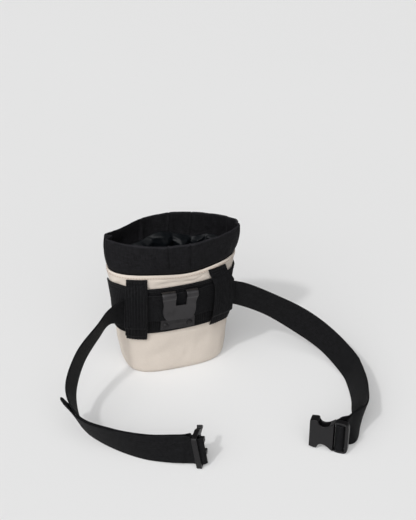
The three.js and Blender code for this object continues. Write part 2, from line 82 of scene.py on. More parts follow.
def run_lengths(points):
    """Lengths along a line of points, from its start."""
    steps = np.linalg.norm(np.diff(points, axis=0), axis=1)
    return np.concatenate([[0], np.cumsum(steps)])


def at_length(values, lengths, place):
    """Values that go with a line's points, read at a length along it."""
    return np.stack([np.interp(place, lengths, column) for column in values.T], -1)


def catmull(points, numbers):
    """Points on a centripetal curve through points, asked for by point number."""
    p = np.asarray(points, float)
    padded = np.vstack([2 * p[0] - p[1], p, 2 * p[-1] - p[-2]])
    shortest = 1e-4
    made = []
    for number in numbers:
        i = min(int(number), len(p) - 2)
        t = number - i
        x0, x1, x2, x3 = padded[i:i + 4]
        d0, d1, d2 = (((b - a) @ (b - a)) ** 0.25 for a, b in ((x0, x1), (x1, x2), (x2, x3)))
        d1 = d1 if d1 > shortest else 1.0
        d0 = d0 if d0 > shortest else d1
        d2 = d2 if d2 > shortest else d1
        start = ((x1 - x0) / d0 - (x2 - x0) / (d0 + d1) + (x2 - x1) / d1) * d1
        end = ((x2 - x1) / d1 - (x3 - x1) / (d1 + d2) + (x3 - x2) / d2) * d1
        square = 3 * x2 - 3 * x1 - 2 * start - end
        cube = 2 * x1 - 2 * x2 + start + end
        made.append(x1 + start * t + square * t ** 2 + cube * t ** 3)
    return np.array(made)


# Shares and noise
def smooth_step(x, low, high):
    t = np.clip((np.asarray(x, float) - low) / (high - low), 0, 1)
    return t * t * (3 - 2 * t)


def within(x, rise, fall):
    """A share that comes in over one span and goes out over another."""
    return smooth_step(x, *rise) * (1 - smooth_step(x, *fall))


def bell(x, middle, half_width):
    return np.exp(-(((np.asarray(x, float) - middle) / half_width) ** 2))


NOISE_LEVELS = 64


def soft_noise(shares, level, waves, seed):
    """Smooth noise from -1 to 1 at a level, with so many waves round the pouch."""
    table = np.random.default_rng(seed).uniform(-1, 1, (waves, NOISE_LEVELS))
    place = shares * waves
    column, row = np.floor(place).astype(int), math.floor(level)
    ease_round, ease_up = (f * f * f * (f * (f * 6 - 15) + 10) for f in (place - column, level - row))

    def corner(onwards, above):
        return table[(column + onwards) % waves, (row + above) % NOISE_LEVELS]

    low = corner(0, 0) * (1 - ease_round) + corner(1, 0) * ease_round
    high = corner(0, 1) * (1 - ease_round) + corner(1, 1) * ease_round
    return low * (1 - ease_up) + high * ease_up


def soft_puffs(shares, z, rows):
    """Layers of noise added up, from rows of depth, waves round the pouch, height of a wave and seed."""
    return sum(depth * soft_noise(shares, z / height, waves, seed) for depth, waves, height, seed in rows)


# Shapes of the pouch's wall
def section(z, column):
    """One value of the pouch's outline at a height, smooth from row to row."""
    heights = POUCH_SECTIONS[:, 0]
    values = POUCH_SECTIONS[:, SECTION_COLUMNS.index(column)]
    last = len(heights) - 1
    i = int(np.clip(np.searchsorted(heights, z, side="right") - 1, 0, last - 1))

    def slope(k):
        before, after = max(k - 1, 0), min(k + 1, last)
        return (values[after] - values[before]) / (heights[after] - heights[before])

    span = heights[i + 1] - heights[i]
    t = (z - heights[i]) / span
    rise = values[i + 1] - values[i]
    bend = (1 - t) * (slope(i) * span - rise) - t * (slope(i + 1) * span - rise)
    return values[i] + rise * t + t * (1 - t) * bend


FINE_STEPS = 720
fine_rings = {}


def fine_ring(z, inset):
    """Points, outward directions and lengths round the outline at a height, from the belt side's middle."""
    key = (round(float(z), 3), round(float(inset), 3))
    if key in fine_rings:
        return fine_rings[key]
    level = min(max(z, 0), RIM_TOP)
    width, depth, bow, tip, shift_x, shift_y, turn = (section(level, c) for c in SECTION_COLUMNS[1:])
    angle = np.linspace(0, 2 * math.pi, FINE_STEPS + 1)
    side, front = np.sin(angle), -np.cos(angle)
    x = (width - inset) * np.sign(side) * np.abs(side) ** (2 / bow)
    y = (depth - inset) * np.sign(front) * np.abs(front) ** (2 / tip)
    c, s = cos_sin(turn)
    points = np.stack([c * x - s * y + shift_x, s * x + c * y + shift_y], 1)
    open_ring = points[:-1]
    along = unit(np.roll(open_ring, -1, 0) - np.roll(open_ring, 1, 0))
    outward = np.stack([along[:, 1], -along[:, 0]], 1)
    fine_rings[key] = points, np.vstack([outward, outward[:1]]), run_lengths(points)
    return fine_rings[key]


def wall(across, z, out=0.0, inset=0.0):
    """Points across mm round from the belt side's middle, out mm off the outline that lies inset in."""
    points, outward, lengths = fine_ring(z, inset)
    place = np.mod(np.asarray(across, float), lengths[-1])
    push = unit(at_length(outward, lengths, place)) * np.asarray(out, float)[..., None]
    flat = at_length(points, lengths, place) + push
    return np.concatenate([flat, np.full(flat.shape[:-1] + (1,), float(z))], -1)


def girth(z, inset=0.0):
    return fine_ring(z, inset)[2][-1]


def way_round(shares, share, around):
    """Signed distance round the pouch from one place on it, the shorter way."""
    return (np.mod(shares - share + 0.5, 1) - 0.5) * around


def cloth_row(across, along):
    """Places on the cloth for a row of points at one place along it."""
    return np.stack([across, np.full_like(across, along)], 1)


# Meshes
class MeshMaker:
    """Collects grids and caps, with texture places in millimetres, and turns them into one piece."""

    def __init__(self):
        self.points, self.faces, self.places = [], [], []

    def add_points(self, points):
        start = len(self.points)
        self.points.extend(np.asarray(points, float).reshape(-1, 3).tolist())
        return start

    def rings(self, points, places):
        """Faces over rows of closed rings. places has a column more where the texture has a seam."""
        rows, columns = points.shape[:2]
        if places.shape[1] == columns:
            places = np.concatenate([places, places[:, :1]], 1)
        start = self.add_points(points)
        for i in range(rows - 1):
            low, high = start + i * columns, start + (i + 1) * columns
            for j in range(columns):
                k = (j + 1) % columns
                self.faces.append((low + j, low + k, high + k, high + j))
                self.places.append([places[i][j], places[i][j + 1], places[i + 1][j + 1], places[i + 1][j]])
        return start

    def cap(self, start, count, middle):
        """A fan from a ring of points already added to a middle point."""
        centre = self.add_points([middle])
        for j in range(count):
            face = (start + j, start + (j + 1) % count, centre)
            self.faces.append(face)
            self.places.append([self.points[k][:2] for k in face])

    def tube(self, points, places, ends=None):
        """Rows of closed rings with a fan over each end."""
        rows, columns = points.shape[:2]
        first, last = ends or (points[0].mean(0), points[-1].mean(0))
        start = self.rings(points, places)
        self.cap(start, columns, first)
        self.cap(start + (rows - 1) * columns, columns, last)

    def piece(self, name, material, slot, node=None):
        mesh = bpy.data.meshes.new(name)
        mesh.from_pydata((np.array(self.points) * MM).tolist(), [], self.faces)
        layer = mesh.uv_layers.new(name="cloth_mm")
        layer.data.foreach_set("uv", np.array([xy for face in self.places for xy in face], float).ravel())
        mesh.update()
        face_outwards(mesh)
        return finish_piece(in_scene(name, mesh), material, node)


JOIN_WITHIN = 1e-6


def face_outwards(mesh, join=False):
    work = bmesh.new()
    work.from_mesh(mesh)
    if join:
        bmesh.ops.remove_doubles(work, verts=work.verts, dist=JOIN_WITHIN)
    bmesh.ops.recalc_face_normals(work, faces=work.faces)
    work.to_mesh(mesh)
    work.free()


def in_scene(name, data):
    obj = bpy.data.objects.new(name, data)
    bpy.context.scene.collection.objects.link(obj)
    return obj


def apply_modifiers(obj):
    bpy.context.view_layer.update()
    made = bpy.data.meshes.new_from_object(obj.evaluated_get(bpy.context.evaluated_depsgraph_get()))
    obj.modifiers.clear()
    obj.data = made
    face_outwards(made)


def finish_piece(obj, material, node=None):
    """Smooth look, a material, a place under the root body, and the solid it stands in for hidden."""
    mesh = obj.data
    mesh.polygons.foreach_set("use_smooth", [True] * len(mesh.polygons))
    mesh.materials.clear()
    mesh.materials.append(material)
    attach(obj, "root")
    if node:
        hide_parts(node)
    return obj


# Materials
class Nodes:
    """Nodes being wired up in a tree: sockets or values in, sockets out."""

    def __init__(self, tree):
        self.tree = tree

    def wire(self, value, socket):
        if isinstance(value, bpy.types.NodeSocket):
            self.tree.links.new(value, socket)
        else:
            socket.default_value = value

    def node(self, kind, inputs=None, **settings):
        made = self.tree.nodes.new(kind)
        for key, value in settings.items():
            setattr(made, key, value)
        for key, value in (inputs or {}).items():
            self.wire(value, made.inputs[key])
        return made.outputs

    def math(self, operation, a, b=0.0):
        return self.node("ShaderNodeMath", {0: a, 1: b}, operation=operation)[0]


class Look(Nodes):
    """A procedural material being built."""

    def __init__(self, name, color, specular, roughness=0.5):
        self.material = bpy.data.materials.new(name)
        self.material.use_nodes = True
        super().__init__(self.material.node_tree)
        self.color = color
        self.set("Base Color", (*color, 1))
        self.set("Roughness", roughness)
        self.set("Specular IOR Level", specular)

    def set(self, socket, value):
        self.wire(value, self.tree.nodes["Principled BSDF"].inputs[socket])

    def blend(self, *parts):
        """Amounts added up, each times its weight."""
        total = 0.0
        for amount, weight in parts:
            total = self.math("ADD", self.math("MULTIPLY", amount, weight), total)
        return total

    def ramp(self, amount, span, low, high):
        """A value that goes from low to high as an amount goes over its span."""
        inputs = {"Value": amount, "From Min": span[0], "From Max": span[1], "To Min": low, "To Max": high}
        return self.node("ShaderNodeMapRange", inputs)[0]

    def flat_places(self):
        return self.node("ShaderNodeUVMap", uv_map="cloth_mm")[0]

    def object_places(self):
        return self.node("ShaderNodeTexCoord")["Object"]

    def split(self, places):
        return self.node("ShaderNodeSeparateXYZ", {0: places})

    def noise(self, places, scale, detail=3.0, stretch=(1, 1, 1)):
        placed = self.node("ShaderNodeMapping", {"Vector": places, "Scale": stretch})[0]
        return self.node("ShaderNodeTexNoise", {"Vector": placed, "Scale": scale, "Detail": detail})["Fac"]

    def wave(self, place, pitch):
        """A sine over a place in millimetres, one period per pitch."""
        return self.math("SINE", self.math("MULTIPLY", place, 2 * math.pi / pitch))

    def height_fade(self, heights, low, high):
        """A share that goes from low to high between two heights in millimetres."""
        span = [height * MM for height in heights]
        return self.ramp(self.split(self.object_places())[2], span, low, high)

    def tint(self, amount, low, high, span=(0, 1)):
        """The base colour times a factor from low to high as amount goes over its span."""
        inputs = {0: self.color, "Scale": self.ramp(amount, span, low, high)}
        self.set("Base Color", self.node("ShaderNodeVectorMath", inputs, operation="SCALE")[0])

    def rough(self, amount, low, high):
        self.set("Roughness", self.ramp(amount, (0, 1), low, high))

    def bump(self, height, distance, strength):
        inputs = {"Height": height, "Distance": distance * MM, "Strength": strength}
        self.set("Normal", self.node("ShaderNodeBump", inputs)[0])

    def sheen(self, weight, roughness=0.5):
        self.set("Sheen Weight", weight)
        self.set("Sheen Roughness", roughness)


def plain_weave(look, pitch):
    """Height of a plain weave, and its slubs."""
    places = look.flat_places()
    across, along = look.split(places)[:2]
    crossing = look.math("MULTIPLY", look.wave(across, 2 * pitch), look.wave(along, 2 * pitch))
    scale, drawn_out = 0.9 / pitch, 0.08
    warp = look.noise(places, scale, detail=2, stretch=(1, drawn_out, 1))
    weft = look.noise(places, scale, detail=2, stretch=(drawn_out, 1, 1))
    slubs = look.blend((warp, 0.5), (weft, 0.5))
    return look.blend((crossing, 0.35), (slubs, 1)), slubs


def canvas_material():
    look = Look("cream_canvas", color=(0.605, 0.541, 0.478), specular=0.12, roughness=0.9)
    height, slubs = plain_weave(look, pitch=0.8)
    patches = look.noise(look.object_places(), scale=22)
    look.tint(look.blend((slubs, 0.7), (patches, 0.3)), low=0.86, high=1.14)
    look.bump(height, distance=0.22, strength=0.6)
    look.sheen(0.08)
    return look.material


# Painted highlight: the cuff is painted paler towards its edge, where the rim catches the light, between
# these heights.
RIM_HIGHLIGHT_HEIGHTS = (184.8, 186.4)


def black_cloth_material():
    look = Look("black_cloth", color=(0.0077, 0.0075, 0.0086), specular=0.09, roughness=0.8)
    height, slubs = plain_weave(look, pitch=0.8)
    mottle = look.noise(look.object_places(), scale=240)
    # Painted highlight: paler towards the cuff's rim, where the fold catches the light from above.
    steel_wear_and_rim_highlight = look.height_fade(RIM_HIGHLIGHT_HEIGHTS, low=0, high=0.24)
    slubs_mottle_and_rim_highlight = look.blend((slubs, 0.75), (mottle, 0.25), (steel_wear_and_rim_highlight, 1))
    look.tint(slubs_mottle_and_rim_highlight, low=0.35, high=2.95, span=(0.35, 0.95))
    look.bump(height, distance=0.3, strength=0.8)
    look.sheen(0.02, roughness=0.4)
    return look.material


BAND_RIB_PITCH = 2.5
# Painted shade: the band's furrows are painted darker below the belt, where the belt and the ribs shade them.
# That fades out between these heights.
FURROW_SHADE_HEIGHTS = (80.5, 83.5)


def ribbed_cloth_material():
    look = Look("ribbed_black_cloth", color=(0.0072, 0.0072, 0.0080), specular=0.1, roughness=0.75)
    height, slubs = plain_weave(look, pitch=0.6)
    across = look.split(look.flat_places())[0]
    # Painted shade: the furrows between the ribs are painted darker below the belt.
    crests = look.math("POWER", look.math("ABSOLUTE", look.wave(across, 2 * BAND_RIB_PITCH)), 2.0)
    shade = look.math("MAXIMUM", crests, look.height_fade(FURROW_SHADE_HEIGHTS, low=0, high=1))
    painted_furrow_shade = look.math("SUBTRACT", shade, 1.0)
    look.tint(look.blend((slubs, 1), (painted_furrow_shade, 0.3)), low=0.2, high=1.7, span=(0.27, 0.7))
    look.bump(height, distance=0.25, strength=0.8)
    look.sheen(0.02, roughness=0.4)
    return look.material


def lining_material():
    look = Look("coated_lining", color=(0.0032, 0.0041, 0.0053), specular=0.15)
    creases = look.noise(look.object_places(), scale=80, detail=4)
    look.rough(creases, low=0.34, high=0.56)
    look.bump(creases, distance=1.6, strength=0.8)
    return look.material


WEBBING_RIB, TWILL_PITCH = 3.2, 1.3


def webbing_material():
    look = Look("black_webbing", color=(0.0066, 0.0066, 0.0073), specular=0.06, roughness=0.65)
    across, along = look.split(look.flat_places())[:2]
    zigzag = look.math("PINGPONG", across, WEBBING_RIB / 2)
    twill = look.wave(look.blend((along, 1), (zigzag, 0.9)), TWILL_PITCH)
    ribs = look.math("ABSOLUTE", look.wave(across, WEBBING_RIB))
    fuzz = look.noise(look.object_places(), scale=900, detail=2)
    mottle = look.noise(look.object_places(), scale=300)
    grain = look.blend((fuzz, 0.3), (mottle, 0.35), (ribs, 0.35))
    look.tint(grain, low=0.2, high=1.8, span=(0.43, 0.67))
    look.bump(look.blend((twill, 0.3), (ribs, 0.5)), distance=0.4, strength=0.7)
    look.sheen(0.015, roughness=0.35)
    return look.material


# Painted shade: below these heights the clip's plate is painted darker than its tongue, as the plate lies in
# the tongue's shade and reflects darker surroundings.
PLATE_SHADE_HEIGHTS = (85.2, 86.8)


def steel_material(name, smoothest, roughest):
    look = Look(name, color=(0.056, 0.054, 0.056), specular=0.4)
    look.set("Metallic", 0.9)
    places = look.object_places()
    brushed = look.noise(places, scale=420, stretch=(1, 1, 0.12))
    steel_wear_and_rim_highlight = look.noise(places, scale=75, detail=4)
    look.rough(look.blend((brushed, 0.6), (steel_wear_and_rim_highlight, 0.4)), smoothest, roughest)
    # Painted shade and reflection: the plate and its rivets are painted darker than the tongue.
    painted_plate_shade = look.height_fade(PLATE_SHADE_HEIGHTS, low=0.74, high=1)
    look.tint(look.math("MULTIPLY", painted_plate_shade, look.math("ADD", steel_wear_and_rim_highlight, 0.5)), low=0, high=1)
    look.bump(brushed, distance=0.04, strength=0.5)
    return look.material


def plastic_material():
    look = Look("moulded_plastic", color=(0.0066, 0.0061, 0.0068), specular=0.28)
    places = look.object_places()
    grain = look.noise(places, scale=1500, detail=2)
    look.rough(look.noise(places, scale=120), low=0.28, high=0.44)
    look.tint(grain, low=0.9, high=1.1)
    look.bump(grain, distance=0.04, strength=0.5)
    return look.material


def thread_material(name, color):
    look = Look(name, color, specular=0.2, roughness=0.7)
    fuzz = look.noise(look.object_places(), scale=2500, detail=2)
    look.tint(fuzz, low=0.8, high=1.2)
    look.bump(fuzz, distance=0.05, strength=0.6)
    return look.material


CANVAS = canvas_material()
BLACK_CLOTH = black_cloth_material()
RIBBED_CLOTH = ribbed_cloth_material()
LINING = lining_material()
WEBBING = webbing_material()
STEEL = steel_material("dark_steel", smoothest=0.3, roughest=0.46)
RIVET_STEEL = steel_material("dull_steel", smoothest=0.58, roughest=0.72)
PLASTIC = plastic_material()
TAN_THREAD = thread_material("tan_thread", (0.36, 0.24, 0.18))
BLACK_THREAD = thread_material("black_thread", (0.016, 0.016, 0.017))

# Rings along a stitch: share of its length, then thickness and rise as shares of the thread's radius.
STITCH_RINGS = ((0.0, 0.35, -0.7), (0.2, 0.85, 0.1), (0.5, 1.0, 0.45), (0.8, 0.85, 0.1), (1.0, 0.35, -0.7))
STITCH_SIDES = 6
# Points on the line of a short row of stitches, of one along the band and of one round the pouch.
SEAM_POINTS, BAND_SEAM_POINTS, HEM_SEAM_POINTS = 30, 260, 400


class Stitches:
    """Rows of stitches, laid half into the cloth."""

    def __init__(self, length, pitch, radius):
        self.length, self.pitch, self.radius = length, pitch, radius
        self.maker = MeshMaker()

    def over(self, surface, rise=0.0):
        """A row on a surface that gives a line of points for a distance off it, moved up by rise."""
        line, outer = surface(0), surface(1)
        outward = outer - line
        line[:, 2] += rise
        self.row(line, outward)

    def row(self, points, outward):
        """Stitches along a line of points, each with the cloth's outward direction."""
        lengths = run_lengths(points)
        count = max(1, int(lengths[-1] / self.pitch))
        for middle in (np.arange(count) + 0.5) * lengths[-1] / count:
            tail, head = (at_length(points, lengths, middle + end * self.length / 2) for end in (-1, 1))
            self.one(tail, head, unit(at_length(outward, lengths, middle)))

    def one(self, tail, head, lift):
        side = np.cross(unit(head - tail), lift)
        turn = np.arange(STITCH_SIDES) * 2 * math.pi / STITCH_SIDES
        circle = np.outer(np.cos(turn), side) + np.outer(np.sin(turn), lift)
        rings = np.array([
            tail + (head - tail) * share + (lift * rise + circle * fat) * self.radius
            for share, fat, rise in STITCH_RINGS
        ])
        self.maker.tube(rings, np.zeros(rings.shape[:2] + (2,)))


# Canvas body
BODY_COLUMNS = 300
BODY_PUFFS = ((0.55, 18, 30, 3), (0.3, 44, 13, 4))
# Soft dents in the canvas: across, height, half length, half width, slant in degrees and depth.
BODY_DENTS = [
    (-22, 133, 9, 3.2, 8, 1.3),
    (-8, 136, 7, 2.6, -25, 0.8),
    (12, 133.5, 8, 3, -12, 1.2),
    (27, 137, 6, 2.4, 30, 0.8),
    (-78, 132, 9, 3, 35, 1.2),
    (74, 134, 8, 3, -40, 1.0),
    (-76, 46, 22, 5, 86, 1.3),
    (76, 44, 20, 5, 94, 1.1),
    (-30, 30, 20, 7, 15, 0.6),
    (35, 42, 22, 7, -12, 0.6),
    (150, 95, 34, 9, 70, 1.6),
    (190, 60, 30, 9, 110, 1.5),
    (-150, 80, 32, 9, 100, 1.5),
    (-190, 118, 26, 8, 60, 1.3),
]
# A dent's raised lip, as a share of its depth, and how many half widths it lies beside the dent.
DENT_LIP, LIP_AWAY = 0.35, 1.9
# Where the band presses the canvas flat, and how much of a dent goes there.
BAND_PRESS = Sizes(foot=(58, 63), top=(131, 134), end=(100, 106), dent=0.7)
# Where the canvas is free to puff out.
BODY_FREE = Sizes(foot=(3, 16), top=(HEM_FOOT - 2, HEM_FOOT))
# The hem sags on the belt side: share of the way round, half width, depth and the heights where it fades.
HEM_SAG = Sizes(share=0.03, half_width=0.085, depth=4.0, foot=(126, 141), top=(149, 172))
# Rows of height and inset, from the foot over the folded hem and down inside.
BODY_PROFILE = [(z, 0.0) for z in (0, 0.5, 1.2, 2.2, 3.5, 5, 7.5, 10, 12.5)]
BODY_PROFILE += [(z, 0.0) for z in np.arange(15, HEM_FOOT - 0.5, 2.2)]
BODY_PROFILE += [
    (141.6, -0.03), (142.0, -0.15), (142.4, -0.33), (142.9, -0.42), (143.5, -0.38), (144.6, -0.5),
    (146, -0.5), (146.8, -0.35), (147.2, 0.1), (147.2, 1.0), (146.7, 1.8), (145.5, 2.1),
]
BODY_PROFILE += [(z, 2.2) for z in (138, 120, 100, 80, 60, 40, 20, 12, 6)] + [(2.2, 4.5)]
HEM_STITCH = Sizes(up=143.6, inset=-0.4, pitch=3.4, pull=0.1, pull_height=0.5)


def body_push(shares, z, around):
    """How far the canvas stands out of its outline: puffs and dents, pressed flat under the band."""
    push = soft_puffs(shares, z, BODY_PUFFS)
    across = np.where(shares > 0.5, shares - 1, shares) * around
    for place, height, half_length, half_width, slant, depth in BODY_DENTS:
        c, s = cos_sin(slant)
        along = (across - place) * c + (z - height) * s
        beside = (z - height) * c - (across - place) * s
        lip = DENT_LIP * bell(beside, LIP_AWAY * half_width, half_width)
        push -= depth * bell(along, 0, half_length) * (bell(beside, 0, half_width) - lip)
    pressed = within(z, BAND_PRESS.foot, BAND_PRESS.top)
    pressed = pressed * (1 - smooth_step(np.abs(across), *BAND_PRESS.end))
    push *= 1 - np.where(push > 0, 1, BAND_PRESS.dent) * pressed
    return push * within(z, BODY_FREE.foot, BODY_FREE.top)


def hem_sag(shares, z):
    """How far the hem and the foot of the cuff hang down."""
    sag = HEM_SAG.depth * bell(way_round(shares, HEM_SAG.share, 1), 0, HEM_SAG.half_width)
    return sag * within(z, HEM_SAG.foot, HEM_SAG.top)


def body_canvas():
    maker = MeshMaker()
    shares = np.arange(BODY_COLUMNS + 1) / BODY_COLUMNS
    rows, places = [], []
    for z, inset in BODY_PROFILE:
        around = girth(z, inset)
        across = shares * around
        push = body_push(shares, z, around) if inset == 0 else np.zeros_like(shares)
        if inset < 0 and abs(z - HEM_STITCH.up) < HEM_STITCH.pull_height:
            push -= HEM_STITCH.pull * (0.5 + 0.5 * np.cos(across * 2 * math.pi / HEM_STITCH.pitch))
        points = wall(across, z, push, inset)
        points[:, 2] -= hem_sag(shares, z)
        rows.append(points[:-1])
        places.append(cloth_row(across, z))
    maker.tube(np.array(rows), np.array(places))
    maker.piece("canvas_body", CANVAS, "canvas", "body_canvas")


def hem_stitches():
    stitches = Stitches(length=2.5, pitch=HEM_STITCH.pitch, radius=0.34)
    up, inset = HEM_STITCH.up, HEM_STITCH.inset
    shares = np.linspace(0, 1, HEM_SEAM_POINTS)
    across = shares * girth(up, inset)
    stitches.over(lambda out: wall(across, up, out, inset), rise=-hem_sag(shares, up))
    stitches.maker.piece("hem_stitching", TAN_THREAD, "canvas")


# Collar
COLLAR_COLUMNS = 360
COLLAR_WAVES = ((0.9, 20, 45, 11), (0.5, 52, 16, 12))
COLLAR_FREE = (148, 160)
# Seams down the collar: share of the way round from the belt side's middle, and depth.
COLLAR_SEAMS = ((-0.0295, 2.0), (0.0375, 2.0), (0.418, 1.2), (0.491, 1.2))
SEAM = Sizes(half_width=0.9, ridge=0.4, ridge_half=5, pucker=0.3, pucker_pitch=6.5, pucker_half=7)
# Soft folds down the collar: shares of the way round. A fold's ridge and groove each have a height, a place
# beside the fold and a half width, and fade towards the rim.
COLLAR_FOLDS = (0.581, 0.292, 0.70)
FOLD = Sizes(slant=0.12, level=165, ridge=(0.9, 3, 3), groove=(-1.6, -1, 2), fade=0.75, fade_from=168)
# The far side is pulled straight: share of the way round, half width, depth and where it starts.
COLLAR_PULL = Sizes(share=0.66, half_width=0.06, depth=4.0, start=155)
# The cuff's two ends fold inwards: share of the way round, how far in along x and half width.
COLLAR_TIPS = ((0.25, -3.0, 2.2), (0.75, 9.0, 3.8))
TUCK_FROM = 156
# Beside each end the cuff stands out: height, distance from the end and half width.
TIP_CHEEK = (1.2, 8, 3.5)
# Where the rim sags: depth, share of the way round and half width. Its ripple is a layer of noise.
RIM_SAGS = ((3.4, 0.665, 0.055), (1.3, 0.55, 0.05))
RIM_RIPPLE = ((0.7, 16, 1, 13),)
RIM_FREE_FROM = 158
# Rows of height and inset, up the outside, over the rim and down the inside.
COLLAR_PROFILE = [
    (134, 2.7), (140, 2.7), (145.5, 2.7), (147.6, 2.6), (148.6, 2.1), (149.8, 1.4), (151, 0.8), (152.5, 0.3),
    (154.5, 0.0), (157, -0.25), (160, -0.35), (163, -0.4), (166, -0.4), (169, -0.4), (172, -0.4), (175, -0.4),
    (178, -0.3), (180.5, -0.2), (182.6, -0.1), (184.2, -0.1), (185.4, 0.0), (186.3, 0.3), (186.85, 0.8),
    (RIM_TOP, 1.4), (186.85, 2.0), (186.3, 2.5), (185.4, 2.8), (184, 2.9), (182, 2.85), (179, 2.8),
    (175, 2.7), (171, 2.6), (167, 2.6), (163, 2.7), (159, 2.9), (155, 3.4), (151, 4.2), (147, 5.4),
    (140, 5.5), (134, 5.5),
]


def collar_push(shares, z, around):
    """How far the cuff stands out of its outline: waves, seams, folds and cheeks beside its ends."""
    push = soft_puffs(shares, z, COLLAR_WAVES)
    for seam, depth in COLLAR_SEAMS:
        off = way_round(shares, seam, around)
        push += SEAM.ridge * bell(off, 0, SEAM.ridge_half) - depth * bell(off, 0, SEAM.half_width)
        ripple = math.sin(z * 2 * math.pi / SEAM.pucker_pitch)
        push += SEAM.pucker * ripple * bell(off, 0, SEAM.pucker_half)
    left = 1 - FOLD.fade * smooth_step(z, FOLD.fade_from, RIM_TOP)
    for fold in COLLAR_FOLDS:
        off = way_round(shares, fold, around) - FOLD.slant * (z - FOLD.level)
        for height, place, half_width in (FOLD.ridge, FOLD.groove):
            push += height * bell(off, place, half_width) * left
    pull = COLLAR_PULL.depth * bell(shares, COLLAR_PULL.share, COLLAR_PULL.half_width)
    push -= pull * smooth_step(z, COLLAR_PULL.start, RIM_TOP)
    height, away, half_width = TIP_CHEEK
    for tip, _, _ in COLLAR_TIPS:
        push += height * bell(np.abs(way_round(shares, tip, around)), away, half_width)
    return push * smooth_step(z, *COLLAR_FREE)


def tip_tuck(shares, z, around):
    """How far along x the cuff's ends are folded in."""
    moved = sum(inwards * bell(way_round(shares, tip, around), 0, half) for tip, inwards, half in COLLAR_TIPS)
    return moved * smooth_step(z, TUCK_FROM, RIM_TOP)


def rim_rise(shares, z):
    """How far the cuff's edge rides up, or sags where the far side is pulled straight."""
    rise = soft_puffs(shares, 0, RIM_RIPPLE)
    rise -= sum(depth * bell(shares, share, half_width) for depth, share, half_width in RIM_SAGS)
    return rise * smooth_step(z, RIM_FREE_FROM, RIM_TOP)


def collar():
    maker = MeshMaker()
    shares = np.arange(COLLAR_COLUMNS + 1) / COLLAR_COLUMNS
    rim_row = int(np.argmax([z for z, _ in COLLAR_PROFILE]))
    rows, places = [], []
    for k, (z, inset) in enumerate(COLLAR_PROFILE):
        around = girth(z, inset)
        across = shares * around
        points = wall(across, z, collar_push(shares, z, around), inset)
        points[:, 0] += tip_tuck(shares, z, around)
        points[:, 2] += rim_rise(shares, z) - hem_sag(shares, z)
        rows.append(points[:-1])
        places.append(cloth_row(across, 2 * RIM_TOP - z if k > rim_row else z))
    maker.rings(np.array(rows + rows[:1]), np.array(places + places[:1]))
    piece = maker.piece("cuff", BLACK_CLOTH, "black_cloth", "collar")
    face_outwards(piece.data, join=True)


# Lining: a crumpled bag inside
LINING_COLUMNS = 300
LINING_CLOTH = 0.9
LINING_TOP = 156
LINING_HEIGHTS = [LINING_TOP, 155.5, *np.arange(154.6, 120, -0.9), *np.arange(119, 12, -2.0), 10, 7.5, 5.5]
# The bag's inset from the pouch's outline, and how much less it is at the edge, from a height up.
LINING_INSET = Sizes(bag=7.2, flare=2.8, start=146)
# Puffs round the bag, and the layers of noise that shift them and make them uneven.
LINING_PUFF = Sizes(count=15, depth=7.5, sway=0.35, sway_height=10, least=0.65)
PUFF_DRIFT = ((0.9, 7, 24, 24),)
PUFF_UNEVEN = ((0.35, 11, 16, 25),)
# Sharp creases: depth, waves round the pouch, height of a wave and seed.
LINING_CREASES = ((2.8, 30, 8, 22), (1.0, 64, 5, 23))
# The folds fade at the edge and the floor, and are weaker low down.
LINING_SWELL = Sizes(edge=(-0.5, 4), upper=(95, 140), floor=(0, 14), low_share=0.35)
# The edge is bunched up the cuff on the far wall: height, share of the way round, half width and from where.
LINING_BUNCH = Sizes(height=10, share=0.515, half_width=0.055, start=132)
LINING_RIPPLE = ((2.0, 20, 1, 26),)


def lining_fold(shares, z):
    """How far the lining stands into the pouch: puffs with sharp creases, largest just under its edge."""
    sway = LINING_PUFF.sway * math.sin(z / LINING_PUFF.sway_height)
    phase = shares * LINING_PUFF.count + soft_puffs(shares, z, PUFF_DRIFT) + sway
    fold = LINING_PUFF.depth * np.abs(np.sin(math.pi * phase))
    fold *= LINING_PUFF.least + soft_puffs(shares, z, PUFF_UNEVEN)
    for depth, waves, height, seed in LINING_CREASES:
        fold += depth * (1 - np.abs(soft_noise(shares, z / height, waves, seed))) ** 2
    low_share = LINING_SWELL.low_share
    swell = low_share + (1 - low_share) * smooth_step(z, *LINING_SWELL.upper)
    ends = smooth_step(LINING_TOP - z, *LINING_SWELL.edge) * smooth_step(z, *LINING_SWELL.floor)
    return fold * swell * ends


def lining_rise(shares, z):
    """How far the lining is bunched up the cuff, most on the far wall."""
    bunch = LINING_BUNCH.height * bell(shares, LINING_BUNCH.share, LINING_BUNCH.half_width)
    return (bunch + soft_puffs(shares, 0, LINING_RIPPLE)) * smooth_step(z, LINING_BUNCH.start, LINING_TOP)


def lining():
    maker = MeshMaker()
    shares = np.arange(LINING_COLUMNS + 1) / LINING_COLUMNS
    inner_rows, outer_rows, places = [], [], []
    for z in LINING_HEIGHTS:
        inset = LINING_INSET.bag - LINING_INSET.flare * smooth_step(z, LINING_INSET.start, LINING_TOP)
        across = shares * girth(z, inset)
        fold = lining_fold(shares, z)
        for rows, cloth in ((inner_rows, 0), (outer_rows, LINING_CLOTH)):
            points = wall(across, z, cloth - fold, inset)
            points[:, 2] += lining_rise(shares, z)
            rows.append(points[:-1])
        places.append(cloth_row(across, z))
    outer_rows[-1][:, 2] -= LINING_CLOTH
    maker.tube(np.array(inner_rows[::-1] + outer_rows), np.array(places[::-1] + places))
    maker.piece("crumpled_lining", LINING, "lining_cloth", "lining")


# Band on the belt side, ribbed between two bound edges
BAND_FACE = BAND.off + BAND.cloth
BAND_HEIGHT = BAND.top - BAND.bottom
BAND_STEP, BAND_RIB_DEPTH = 0.5, 0.5
